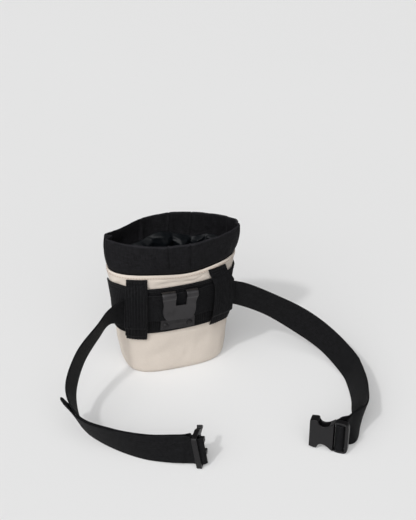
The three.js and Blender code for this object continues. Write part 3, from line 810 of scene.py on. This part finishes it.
# Rows across the band from its lower edge: share of the height, and of the cloth's thickness.
BAND_PROFILE = [(0.0, 0.5), (0.008, 0.85), (0.02, 1.1), (0.045, 1.15), (0.06, 1.05), (0.068, 0.75)]
RIBBED_ROWS = [(v, 0.78) for v in np.linspace(0.075, 0.905, 16)]
BAND_PROFILE += RIBBED_ROWS
BAND_PROFILE += [
    (0.915, 0.72), (0.922, 1.0), (0.945, 1.05), (0.952, 0.8), (0.96, 1.05), (0.985, 1.0), (0.996, 0.8),
    (1.0, 0.5), (0.992, 0.15), (0.97, 0.0), (0.5, 0.0), (0.03, 0.0), (0.008, 0.15),
]
# The band's upper edge rides up beside the left keeper: place across, half width and height.
BAND_RISE = (-77, 19, 5.5)
# Heights of the rows of stitches, and how far they lie off the cloth.
BAND_SEAMS = (BAND.bottom + 2.6, BAND.top - 1.6, BAND.top - 4.2)
STITCH_OFF = 0.12


def band_rise(across, z):
    place, half_width, height = BAND_RISE
    share = max(0, (z - BAND.bottom) / BAND_HEIGHT)
    return height * bell(across, place, half_width) * share ** 2


def back_panel():
    maker = MeshMaker()
    across = np.arange(-BAND.half, BAND.half + BAND_STEP / 2, BAND_STEP)
    ribs = BAND_RIB_DEPTH * np.abs(np.sin(across * math.pi / BAND_RIB_PITCH))
    rows, places = [], []
    for row in BAND_PROFILE:
        z = BAND.bottom + BAND_HEIGHT * row[0]
        line = wall(across, z, BAND.off + BAND.cloth * row[1] + ribs * (row in RIBBED_ROWS))
        line[:, 2] += band_rise(across, z)
        rows.append(line)
        places.append(cloth_row(across, z))
    maker.tube(np.array(rows).transpose(1, 0, 2), np.array(places).transpose(1, 0, 2))
    piece = maker.piece("ribbed_band", RIBBED_CLOTH, "black_cloth", "back_panel")


def band_stitches(stitches):
    across = np.linspace(-BAND.half + 1, BAND.half - 1, BAND_SEAM_POINTS)
    for z in BAND_SEAMS:
        stitches.over(lambda out: wall(across, z, BAND_FACE + STITCH_OFF + out), rise=band_rise(across, z))


# Keeper loops: how far each one's inner face stands off the canvas, at each height. Where the right one is
# clear of the band it stands farther off.
ON_BAND, RIGHT_FARTHER = 3.2, 2
LEFT_KEEPER = [
    (50, 0.75), (60, 0.8), (63.2, ON_BAND), (72, 3.4), (78, 6.4), (98, 7.2), (121.5, 6.4), (131.5, ON_BAND),
    (135, 0.8), (142, 0.75),
]
RIGHT_KEEPER = [(z, out + RIGHT_FARTHER if out > ON_BAND else out) for z, out in LEFT_KEEPER]
# slant leans a keeper sideways, sway moves its upper middle, which the belt pulls along, and outer_flare
# lifts its edge on the outer_side, where the belt leaves it.
KEEPERS = [
    Sizes(node="loop_left", across=-54.5, bottom=55.5, profile=LEFT_KEEPER, slant=3.6, sway=0,
          outer_side=-1, outer_flare=0.32, rib_depth=0.9),
    Sizes(node="loop_right", across=50, bottom=60, profile=RIGHT_KEEPER, slant=-0.6, sway=3.5,
          outer_side=1, outer_flare=0.42, rib_depth=0.12),
]
KEEPER_RIB_PITCH = 3.3
# The rounded edge's share of the width, and the face's height between its ribs as a share of the cloth.
KEEPER_EDGE, KEEPER_FACE = 0.028, 0.9
KEEPER_FACE_POINTS, KEEPER_BACK_EVERY = 61, 6
EDGE_TURN = np.linspace(0, math.pi, 7)[1:-1]
# Rows of points close to a keeper's ends: distances from the end. Between them the rows are even.
KEEPER_END_ROWS = (0.0, 0.15, 0.5, 1.0, 2.0, 3.5, 5.0, 6.5, 8.0, 8.6, 9.0)
EVEN_ROWS = Sizes(above=10, below=9.5, step=1.1)
# An end is turned under: how much thicker it is and where that fades, and how its last millimetre rounds off.
KEEPER_HEM = Sizes(thick=0.3, fade=(7.0, 9.0), round=0.6, round_over=(0, 1))
# Rows of stitches: distances from an end, share of the width they span and how far off the cloth they lie.
KEEPER_SEAM = Sizes(ends=(2.6, 6.6), span=(0.08, 0.92), off=0.5)


def keeper_out(profile, z):
    """Distance off the canvas at a height, easing in and out of every row."""
    heights = [row[0] for row in profile]
    i = int(np.clip(np.searchsorted(heights, z), 1, len(heights) - 1))
    before, after = profile[i - 1], profile[i]
    return before[1] + (after[1] - before[1]) * float(smooth_step(z, before[0], after[0]))


def keeper_point(row, u, z, lift):
    """A point on a keeper, u from 0 to 1 across it and lift mm in front of its inner face."""
    v = (z - row.bottom) / (KEEPER.top - row.bottom)
    flare = 1 + row.outer_flare * np.maximum(0, row.outer_side * (2 * u - 1))
    middle = row.across + (v - 0.5) * row.slant + row.sway * math.sin(math.pi * v * v)
    return wall(middle + (u - 0.5) * KEEPER.width, z, keeper_out(row.profile, z) * flare + lift)


def keeper_ring(row):
    """Round a keeper's cross section: u across it, and lift off its inner face."""
    flat = np.linspace(KEEPER_EDGE, 1 - KEEPER_EDGE, KEEPER_FACE_POINTS)
    back = flat[::-KEEPER_BACK_EVERY]
    ribs = row.rib_depth * np.abs(np.sin((flat - 0.5) * KEEPER.width * math.pi / KEEPER_RIB_PITCH))
    bulge = KEEPER_EDGE * np.sin(EDGE_TURN)
    half = KEEPER.cloth / 2
    front_lift = KEEPER.cloth * KEEPER_FACE + ribs
    u = np.concatenate([flat, 1 - KEEPER_EDGE + bulge, back, KEEPER_EDGE - bulge])
    edge = half * np.cos(EDGE_TURN)
    return u, np.concatenate([front_lift, half + edge, np.zeros(len(back)), half - edge])


def keeper(row, stitches):
    maker = MeshMaker()
    u, lift = keeper_ring(row)
    is_front = lift > KEEPER.cloth / 2
    bottom, top = row.bottom, KEEPER.top
    heights = [bottom + end for end in KEEPER_END_ROWS]
    heights += list(np.arange(bottom + EVEN_ROWS.above, top - EVEN_ROWS.below, EVEN_ROWS.step))
    heights += [top - end for end in KEEPER_END_ROWS[::-1]]
    rows, places = [], []
    for z in heights:
        inwards = min(z - bottom, top - z)
        rounding = 1 - KEEPER_HEM.round * (1 - smooth_step(inwards, *KEEPER_HEM.round_over))
        doubled = KEEPER_HEM.thick * (1 - smooth_step(inwards, *KEEPER_HEM.fade))
        rows.append(keeper_point(row, u, z, np.where(is_front, lift * rounding + doubled, lift)))
        places.append(cloth_row(u * KEEPER.width, z))
    maker.tube(np.array(rows), np.array(places))
    piece = maker.piece(row.node + "_webbing", WEBBING, "webbing", row.node)
    width = np.linspace(*KEEPER_SEAM.span, SEAM_POINTS)
    for z in [bottom + up for up in KEEPER_SEAM.ends] + [top - down for down in KEEPER_SEAM.ends[::-1]]:
        stitches.over(lambda out: keeper_point(row, width, z, KEEPER.cloth + KEEPER_SEAM.off + out))


# Belt clip: one bent strip of spring steel. The plate's rows give height and half width, the tongue's have
# the distance from the bend's middle before them.
BEND_MIDDLE = CLIP.metal / 2 + CLIP.bend_radius
CLIP_PLATE = [(0, 21.4), (1.0, 22), (8, 22), (15.2, 22), (16.4, 21.6), (19, 19), (32, 19.4), (46, 20)]
CLIP_TONGUE = [
    (4.5, 50.6, 22.7), (3.2, 47.6, 22), (2.7, 44, 21.3), (2.3, 40, 20.8), (1.2, 31, 21.2), (1.4, 26, 20.4),
    (2.2, 22, 18.8), (2.8, 19.6, 17), (3.2, 18.4, 14),
]
CLIP_BEND_ANGLES, CLIP_BEND_HALF = np.radians(np.arange(180, -1, -15.0)), 22.9
CLIP_STEPS, CLIP_THIRD = 5, 8
# The plate's raised rib and the strip's softened edges.
PLATE_RIB = Sizes(depth=0.75, up=8.5, half_height=1.5, half_length=10.5, fade=2)
CLIP_EDGE, CLIP_EDGE_STEPS, CLIP_EDGE_ANGLE = 0.32, 3, 50
# How far the clip sits clear of the band, and the heights on it where that is measured.
CLIP_CLEAR, CLIP_LEVELS = 0.35, (0, 16, 32, CLIP.bend_height)


def clip_strip():
    """Places off the band, heights and half widths along the strip's middle."""
    radius = CLIP.bend_radius
    rows = [(CLIP.metal / 2, up, half) for up, half in CLIP_PLATE]
    for angle in CLIP_BEND_ANGLES:
        out, up = BEND_MIDDLE + radius * math.cos(angle), CLIP.bend_height + radius * math.sin(angle)
        rows.append((out, up, CLIP_BEND_HALF))
    rows += [(BEND_MIDDLE + out, up, half) for out, up, half in CLIP_TONGUE]
    last = len(rows) - 1
    return catmull(rows, np.linspace(0, last, last * CLIP_STEPS + 1))


def clip_place():
    """Where the clip's own axes lie: flat on the band, turned a little in its own plane."""
    levels = [CLIP.bottom + up for up in CLIP_LEVELS]
    spots = [wall(CLIP.across, z, BAND_FACE) for z in levels]
    shift = Vector((spots[1][0], min(spot[1] for spot in spots) - CLIP_CLEAR, CLIP.bottom))
    return Matrix.Translation(shift) @ Matrix.Rotation(math.radians(CLIP.tilt), 4, "Y")


def moved(points, place):
    """Points from a piece's own axes to the pouch's."""
    m = np.array(place)
    return np.asarray(points) @ m[:3, :3].T + m[:3, 3]


def clip_columns(half):
    """Places across the strip: up to the window, over it and beyond it."""
    stops = (-half, CLIP.window_low, CLIP.window_high, half)
    thirds = [np.linspace(a, b, CLIP_THIRD + 1) for a, b in zip(stops[:-1], stops[1:])]
    return np.concatenate([thirds[0], thirds[1][1:], thirds[2][1:]])


def clip_faces(strip, count):
    """Faces between the strip's rows of points, without those of the window."""
    top = int(np.argmax(strip[:, 1]))
    back = int(np.argmin(np.abs(strip[:top, 1] - CLIP.window_back)))
    front = top + int(np.argmin(np.abs(strip[top:, 1] - CLIP.window_bottom)))
    faces = []
    for i in range(len(strip) - 1):
        for j in range(count - 1):
            in_window = back <= i < front and CLIP_THIRD <= j < 2 * CLIP_THIRD
            if not in_window:
                low, high = i * count + j, (i + 1) * count + j
                faces.append((low, low + 1, high + 1, high))
    return faces, back


def belt_clip():
    place = clip_place()
    strip = clip_strip()
    x = np.array([clip_columns(half) for half in strip[:, 2]])
    out, up = (np.repeat(strip[:, k:k + 1], x.shape[1], 1) for k in (0, 1))
    faces, back = clip_faces(strip, x.shape[1])
    on_plate = np.arange(len(strip))[:, None] < back
    rib = PLATE_RIB.depth * bell(up, PLATE_RIB.up, PLATE_RIB.half_height) * on_plate
    rib = rib * smooth_step(PLATE_RIB.half_length - np.abs(x), 0, PLATE_RIB.fade)
    points = moved(np.stack([x, -out - rib, up], 2), place)
    mesh = bpy.data.meshes.new("spring_clip")
    mesh.from_pydata((points.reshape(-1, 3) * MM).tolist(), [], faces)
    drop_loose_points(mesh)
    obj = in_scene("spring_clip", mesh)
    solid = obj.modifiers.new("metal", "SOLIDIFY")
    solid.thickness = CLIP.metal * MM
    solid.offset = 0
    edge = obj.modifiers.new("edges", "BEVEL")
    edge.width = CLIP_EDGE * MM
    edge.segments = CLIP_EDGE_STEPS
    edge.limit_method = "ANGLE"
    edge.angle_limit = math.radians(CLIP_EDGE_ANGLE)
    apply_modifiers(obj)
    finish_piece(obj, STEEL, "belt_clip")
    for side, node in ((-1, "rivet_left"), (1, "rivet_right")):
        rivet(side, node, place)


def drop_loose_points(mesh):
    work = bmesh.new()
    work.from_mesh(mesh)
    loose = [v for v in work.verts if not v.link_faces]
    bmesh.ops.delete(work, geom=loose, context="VERTS")
    work.to_mesh(mesh)
    work.free()


# Radius and height of a rivet's head: a dimple, a round crown, a groove and a thin washer
RIVET_PROFILE = [
    (0, 1.4), (0.7, 1.42), (1.2, 1.75), (1.8, 1.9), (2.4, 1.75), (2.85, 1.3), (3.1, 0.4), (3.4, 0.3),
    (3.6, 0.55), (4.1, 0.58), (4.3, 0.0), (0, 0.0),
]
RIVET_STEPS = 40


def rivet(side, node, place):
    turn = np.arange(RIVET_STEPS) * 2 * math.pi / RIVET_STEPS

    def ring(radius, height):
        x = side * RIVET.across + radius * np.cos(turn)
        y = np.full(RIVET_STEPS, -CLIP.metal - height)
        return moved(np.stack([x, y, RIVET.up + radius * np.sin(turn)], 1), place)

    rings = np.array([ring(*row) for row in RIVET_PROFILE])
    maker = MeshMaker()
    maker.tube(rings[1:-1], np.zeros(rings[1:-1].shape[:2] + (2,)), ends=(rings[0][0], rings[-1][0]))
    maker.piece(node + "_head", RIVET_STEEL, "steel", node)


# The belt's way. It is the solid's, apart from small shifts beside the clip, at the tail and by the socket.
# Behind the keepers: round from the belt side's middle, up, and off the canvas.
BELT_MIDDLE = [
    (-66, 98, 6.1), (-58, 100, 4.9), (-47, 102.5, 4.4), (-40, 103.5, 4.7), (-27, 103.8, 7.3),
    (-6, 103.8, 6.5), (17, 103.6, 7.6), (34, 103.4, 5.4), (50, 100, 5.5), (61, 98.7, 6),
]
# The free runs, from the pouch to the buckle: the belt's middle, and its lean outwards in degrees.
LEFT_RUN = [
    (-87, -28.5, 96, -18), (-106, -44, 88.5, -17), (-135.5, -67.5, 70, -5), (-154.5, -98.5, 45.5, 13),
    (-150, -131.5, 28.5, 24), (-121, -162, 21, 15), (-86, -188.5, 20, 3), (-60, -201, 21, -4),
    (-48, -206, 22, -5),
]
RIGHT_RUN = [
    (75, -27.5, 97, -7), (116.5, -37, 77.5, -10), (155, -57, 55, 2), (183, -80.5, 34, 8),
    (197, -119.5, 20, 18), (195, -137.5, 19.8, 23), (186.5, -171.5, 21.5, 26), (179, -191, 20.5, 28),
    (171.5, -214, 20.5, 12), (150, -234.5, 21.8, -12),
]
# Round a buckle's bar: along the buckle, and to its left.
MALE_THREADING = [(12, 10), (11.6, 2.5), (11.2, -4.5), (8.5, -8), (5.8, -4.5), (5.5, 2.5), (6.6, 9)]
FEMALE_THREADING = [
    (4.7, -10), (5.9, -3), (7.2, 2.6), (10.5, 4), (13.8, 2.6), (15.2, -1.5), (16.2, -6), (13, -12),
]
# The turned-back ends: a run's row number, and how far off that run's middle the second layer lies.
LAYER_GAP = 2.05
TAIL = [(3.22, 7.5), (3.5, 4.6), (3.75, 2.8), (4, 2.1)]
TAIL += [(number, LAYER_GAP) for number in (4.3, 4.6, 5, 5.5)]
TAIL += [(6, 2.1), (7, BELT.tail_gap), (7.9, BELT.tail_gap + 0.4)]
SEWN_END = [(9, BELT.tail_gap), (8.6, LAYER_GAP), (8.2, LAYER_GAP)]
MALE_PLACE = Sizes(spot=(-35, -223, 0.4), heading=58, roll=-9)
FEMALE_PLACE = Sizes(spot=(137.5, -249.4, 0), heading=142, roll=0)
BELT_STEP, BELT_LEAST_STEPS, BELT_FACE_POINTS = 2.5, 4, 37
# The belt's rounded edges, its ribs and how far the cloth lies below their crests.
BELT_EDGE, BELT_RIB_DEPTH, BELT_RIB_SUNK = 0.8, 0.16, 0.06
# The tail's hem: how many layers thick, where it ends, and how thin its tip is over what length.
TAIL_HEM = Sizes(fat=2.1, end=(10, 11.5), tip=0.45, tip_length=1.2)
BELT_SEAM_HALF, BELT_SEAMS, BELT_STITCH_OFF = 16.5, (4.0, 8.5), 0.05


def buckle_matrix(place):
    turn = Matrix.Rotation(math.radians(place.heading), 4, "Z")
    roll = Matrix.Rotation(math.radians(place.roll), 4, "X")
    return Matrix.Translation(Vector(place.spot)) @ turn @ roll


def leaning_stations(rows, side):
    """Belt stations from rows of place and lean: a centre, and the way from lower to upper edge."""
    rows = np.array(rows, float)
    made = []
    for k, (x, y, z, lean) in enumerate(rows):
        along = unit(rows[min(k + 1, len(rows) - 1), :3] - rows[max(k - 1, 0), :3])
        outward = unit(np.array([-along[1], along[0], 0]) * side)
        upright, leaning = cos_sin(lean)
        up = np.array([0, 0, upright]) + outward * leaning
        made.append((np.array([x, y, z]), unit(up - along * (up @ along))))
    return made


def threaded_stations(rows, place):
    matrix = buckle_matrix(place)
    up = np.array(matrix)[:3, 2]
    return [(moved((along, left, BUCKLE_WIDTH / 2), matrix), up) for along, left in rows]


def belt_frames(stations, numbers):
    """Centre, width direction and face direction at each station number."""
    centres = [station[0] for station in stations]
    numbers = np.asarray(numbers, float)
    step = 1e-3
    ahead = catmull(centres, np.minimum(numbers + step, len(stations) - 1))
    behind = catmull(centres, np.maximum(numbers - step, 0))
    along = unit(ahead - behind)
    up = catmull([station[1] for station in stations], numbers)
    up = unit(up - along * (up * along).sum(1)[:, None])
    return catmull(centres, numbers), up, np.cross(along, up)


def layer_stations(stations, rows):
    middle, up, face = belt_frames(stations, [row[0] for row in rows])
    return [(middle[k] + face[k] * row[1], up[k]) for k, row in enumerate(rows)]


def belt_stations():
    left = leaning_stations(LEFT_RUN, -1)
    right = leaning_stations(RIGHT_RUN, 1)
    male = threaded_stations(MALE_THREADING, MALE_PLACE)
    female = threaded_stations(FEMALE_THREADING, FEMALE_PLACE)
    middle = [(wall(across, z, out), np.array([0, 0, 1.0])) for across, z, out in BELT_MIDDLE]
    from_tail = [*layer_stations(left, TAIL), *male[::-1], *left[::-1]]
    return [*from_tail, *middle, *right, *female, *layer_stations(right, SEWN_END)]


def belt_ring():
    """Round the belt's cross section: places across it, and off its middle."""
    half, thick = BELT.width / 2 - BELT_EDGE, BELT.cloth / 2
    flat = np.linspace(-half, half, BELT_FACE_POINTS)
    ribs = BELT_RIB_DEPTH * np.abs(np.sin(flat * math.pi / WEBBING_RIB))
    width = np.concatenate([flat, half + BELT_EDGE * np.sin(EDGE_TURN)])
    depth = np.concatenate([thick - BELT_RIB_SUNK + ribs, thick * np.cos(EDGE_TURN)])
    return np.concatenate([width, -width]), np.concatenate([depth, -depth])


def waist_belt(stitches):
    stations = belt_stations()
    numbers = []
    for k in range(len(stations) - 1):
        length = np.linalg.norm(stations[k + 1][0] - stations[k][0])
        steps = max(BELT_LEAST_STEPS, math.ceil(length / BELT_STEP))
        numbers.extend(k + np.arange(steps) / steps)
    numbers.append(len(stations) - 1)
    middle, up, face = belt_frames(stations, numbers)
    lengths = run_lengths(middle)
    width, depth = belt_ring()
    fat = 1 + (TAIL_HEM.fat - 1) * (1 - smooth_step(lengths, *TAIL_HEM.end))
    fat *= TAIL_HEM.tip + (1 - TAIL_HEM.tip) * smooth_step(lengths, 0, TAIL_HEM.tip_length)
    points = middle[:, None] + up[:, None] * width[None, :, None]
    points = points + face[:, None] * np.outer(fat, depth)[..., None]
    maker = MeshMaker()
    maker.tube(points, np.stack(np.broadcast_arrays(width[None], lengths[:, None]), 2))
    piece = maker.piece("belt_webbing", WEBBING, "webbing", "waist_belt")
    belt_stitches(stitches, middle, up, face, lengths)


def belt_stitches(stitches, middle, up, face, lengths):
    """Rows across the hemmed tail end and the sewn end, on both faces."""
    across = np.linspace(-BELT_SEAM_HALF, BELT_SEAM_HALF, SEAM_POINTS)
    seams = [(place, TAIL_HEM.fat) for place in BELT_SEAMS]
    seams += [(lengths[-1] - place, 1.0) for place in BELT_SEAMS[::-1]]
    for place, fat in seams:
        k = int(np.argmin(np.abs(lengths - place)))
        for side in (-1, 1):
            off = side * (BELT.cloth / 2 * fat + BELT_STITCH_OFF)
            line = middle[k] + np.outer(across, up[k]) + face[k] * off
            stitches.row(line, np.repeat(face[k][None] * side, len(across), 0))


# Buckles. Outlines in rows of place along the buckle and half width, one side only.
FEMALE_OUTLINE = [
    (0, 16), (0.9, 19), (3, 21.2), (6.2, 22), (15, 21.6), (19.5, 18.6), (25, 14.6), (30, 13), (33.5, 14.2),
    (35.5, 17), (36.5, 20), (45.6, 19.2),
]
MALE_OUTLINE = [
    (0, 20), (1.2, 22), (18, 22), (25, 18.4), (26.5, 21.5), (31, 18.5), (31, 15.5), (20, 14), (19, 4),
    (30, 3),
]
FEMALE_OUTLINE_POINTS = 81
SOCKET = Sizes(start=22, half=16.5, height=7)
# The frame round the slot is thinner than the socket up to this far short of the slot's end.
FRAME_SHORT = 0.3
# The slot's room beyond the webbing, the bar's half thickness and how far it starts inside the outline.
SLOT_ROOM, BAR_HALF, BAR_INSIDE = 0.35, 1.3, 1
# A cut reaches this far past the plastic.
CUT_PAST = 50
FEMALE_VOXEL, MALE_VOXEL, MOULD_ROUNDS = 0.38, 0.32, 12


def prism(name, outline, low, high):
    """A flat outline of along and up places, made thick from low to high to the buckle's left."""
    mesh = bpy.data.meshes.new(name)
    work = bmesh.new()
    rings = [[work.verts.new(Vector((a, y, u)) * MM) for a, u in outline] for y in (low, high)]
    work.faces.new(rings[0])
    work.faces.new(rings[1][::-1])
    for k in range(len(outline)):
        j = (k + 1) % len(outline)
        work.faces.new((rings[0][k], rings[1][k], rings[1][j], rings[0][j]))
    bmesh.ops.recalc_face_normals(work, faces=work.faces)
    work.to_mesh(mesh)
    work.free()
    return in_scene(name, mesh)


def block(name, low, high):
    outline = [(low[0], low[2]), (high[0], low[2]), (high[0], high[2]), (low[0], high[2])]
    return prism(name, outline, low[1], high[1])


def carve(obj, others, operation):
    for other in others:
        change = obj.modifiers.new(other.name, "BOOLEAN")
        change.operation = operation
        change.object = other
        change.solver = "EXACT"
    apply_modifiers(obj)
    for other in others:
        bpy.data.objects.remove(other)


def mould(obj, voxel):
    """Soft moulded edges: a fine even mesh, smoothed a little."""
    remesh = obj.modifiers.new("even", "REMESH")
    remesh.mode = "VOXEL"
    remesh.voxel_size = voxel * MM
    soften = obj.modifiers.new("soften", "SMOOTH")
    soften.factor = 0.5
    soften.iterations = MOULD_ROUNDS
    apply_modifiers(obj)


def both_sides(rows):
    """A buckle's whole outline from one side's rows."""
    lower = [(along, -half) for along, half in rows][::-1]
    return [(along, BUCKLE_WIDTH / 2 + half) for along, half in [*rows, *lower]]


def cut_slot(body, sizes, more_cuts):
    """Cuts the webbing's slot, with any other cuts, and puts the bar back across it."""
    slot_low = (BUCKLE_WIDTH - BELT.width) / 2 - SLOT_ROOM
    slot_from, slot_to = sizes.slot
    slot = block("slot", (slot_from, -CUT_PAST, slot_low), (slot_to, CUT_PAST, BUCKLE_WIDTH - slot_low))
    carve(body, [slot, *more_cuts], "DIFFERENCE")
    bar_from, bar_to = sizes.bar
    bar = block("bar", (bar_from, -BAR_HALF, BAR_INSIDE), (bar_to, BAR_HALF, BUCKLE_WIDTH - BAR_INSIDE))
    carve(body, [bar], "UNION")


def finish_buckle(obj, name, place, node):
    obj.name = name
    matrix = buckle_matrix(place)
    matrix.translation *= MM
    obj.data.transform(matrix)
    finish_piece(obj, PLASTIC, node)


def buckle_female():
    curve = catmull(FEMALE_OUTLINE, np.linspace(0, len(FEMALE_OUTLINE) - 1, FEMALE_OUTLINE_POINTS))
    body = prism("socket_body", both_sides(curve.tolist()), -FEMALE.thick / 2, FEMALE.thick / 2)
    middle, deep, half = BUCKLE_WIDTH / 2, SOCKET.height / 2, SOCKET.half
    hollow_to = FEMALE_OUTLINE[-1][0] + CUT_PAST
    cuts = [block("hollow", (SOCKET.start, -deep, middle - half), (hollow_to, deep, middle + half))]
    frame_to = FEMALE.slot[1] - FRAME_SHORT
    for side in (-1, 1):
        low, high = sorted((side * FEMALE.frame_thick / 2, side * CUT_PAST))
        far_corner = (frame_to, high, BUCKLE_WIDTH + CUT_PAST)
        cuts.append(block(f"frame_{side}", (-CUT_PAST, low, -CUT_PAST), far_corner))
    cut_slot(body, FEMALE, cuts)
    mould(body, FEMALE_VOXEL)
    finish_buckle(body, "socket_half", FEMALE_PLACE, "buckle_female")


def buckle_male():
    body = prism("plug_body", both_sides(MALE_OUTLINE), -MALE.thick / 2, MALE.thick / 2)
    cut_slot(body, MALE, [])
    mould(body, MALE_VOXEL)
    finish_buckle(body, "plug_half", MALE_PLACE, "buckle_male")


# Camera, light and floor, in metres and degrees
CAMERA_SPOT = (-0.32975, -1.16256, 0.89813)
CAMERA_AZIMUTH, CAMERA_ELEVATION = -18, 32
CAMERA_LENS, CAMERA_SENSOR = 79.4, 36
SUN_FROM = (-0.561, -0.364, 0.743)
SUN_POWER, SUN_ANGLE = 0.98, 4
SKY_FROM = (-0.40, -0.62, 0.68)
SKY_EVEN, SKY_LOBE, SKY_POWER = 0.08, 2.92, 4.0
FLOOR_HALF = 6.0
FLOOR_GLOW = 0.19


def camera():
    across, away = cos_sin(CAMERA_AZIMUTH)
    level, raised = cos_sin(CAMERA_ELEVATION)
    back = Vector((away * level, -across * level, raised))
    right = Vector((across, away, 0))
    data = bpy.data.cameras.new("camera")
    data.lens = CAMERA_LENS
    data.sensor_width = CAMERA_SENSOR
    obj = in_scene("camera", data)
    turn = Matrix((right, back.cross(right), back)).transposed().to_4x4()
    obj.matrix_world = Matrix.Translation(Vector(CAMERA_SPOT)) @ turn
    bpy.context.scene.camera = obj


def sky():
    """An even studio glow with a wide soft light from the front left, high up."""
    world = bpy.data.worlds.new("studio")
    bpy.context.scene.world = world
    world.use_nodes = True
    nodes = Nodes(world.node_tree)
    direction = nodes.node("ShaderNodeTexCoord")["Generated"]
    toward = {0: direction, 1: SKY_FROM}
    strength = nodes.node("ShaderNodeVectorMath", toward, operation="DOT_PRODUCT")["Value"]
    steps = (("MAXIMUM", 0), ("POWER", SKY_POWER), ("MULTIPLY", SKY_LOBE), ("ADD", SKY_EVEN))
    for operation, amount in steps:
        strength = nodes.math(operation, strength, amount)
    background = world.node_tree.nodes["Background"].inputs
    nodes.wire(strength, background["Strength"])
    nodes.wire((1, 1, 1, 1), background["Color"])


def lights():
    sun = bpy.data.lights.new("key", "SUN")
    sun.energy = SUN_POWER
    sun.angle = math.radians(SUN_ANGLE)
    obj = in_scene("key", sun)
    obj.rotation_mode = "QUATERNION"
    obj.rotation_quaternion = Vector(SUN_FROM).to_track_quat("Z", "Y")
    sky()
    settings = bpy.context.scene.view_settings
    settings.view_transform = "Standard"
    settings.look = "None"


def floor():
    mesh = bpy.data.meshes.new("floor")
    corners = [(x * FLOOR_HALF, y * FLOOR_HALF, 0) for x, y in ((-1, -1), (1, -1), (1, 1), (-1, 1))]
    mesh.from_pydata(corners, [], [(0, 1, 2, 3)])
    look = Look("pale_floor", color=(0.60, 0.60, 0.60), specular=0.2, roughness=0.8)
    look.set("Emission Color", (1, 1, 1, 1))
    look.set("Emission Strength", FLOOR_GLOW)
    look.tint(look.noise(look.object_places(), scale=1.5, detail=2), low=0.985, high=1.015)
    mesh.materials.append(look.material)
    in_scene("floor", mesh)


# Everything, piece by piece
camera()
lights()
floor()
body_canvas()
hem_stitches()
collar()
lining()
black_stitches = Stitches(length=2.3, pitch=3.1, radius=0.3)
back_panel()
band_stitches(black_stitches)
for keeper_row in KEEPERS:
    keeper(keeper_row, black_stitches)
belt_clip()
waist_belt(black_stitches)
black_stitches.maker.piece("black_stitching", BLACK_THREAD, "webbing")
buckle_female()
buckle_male()
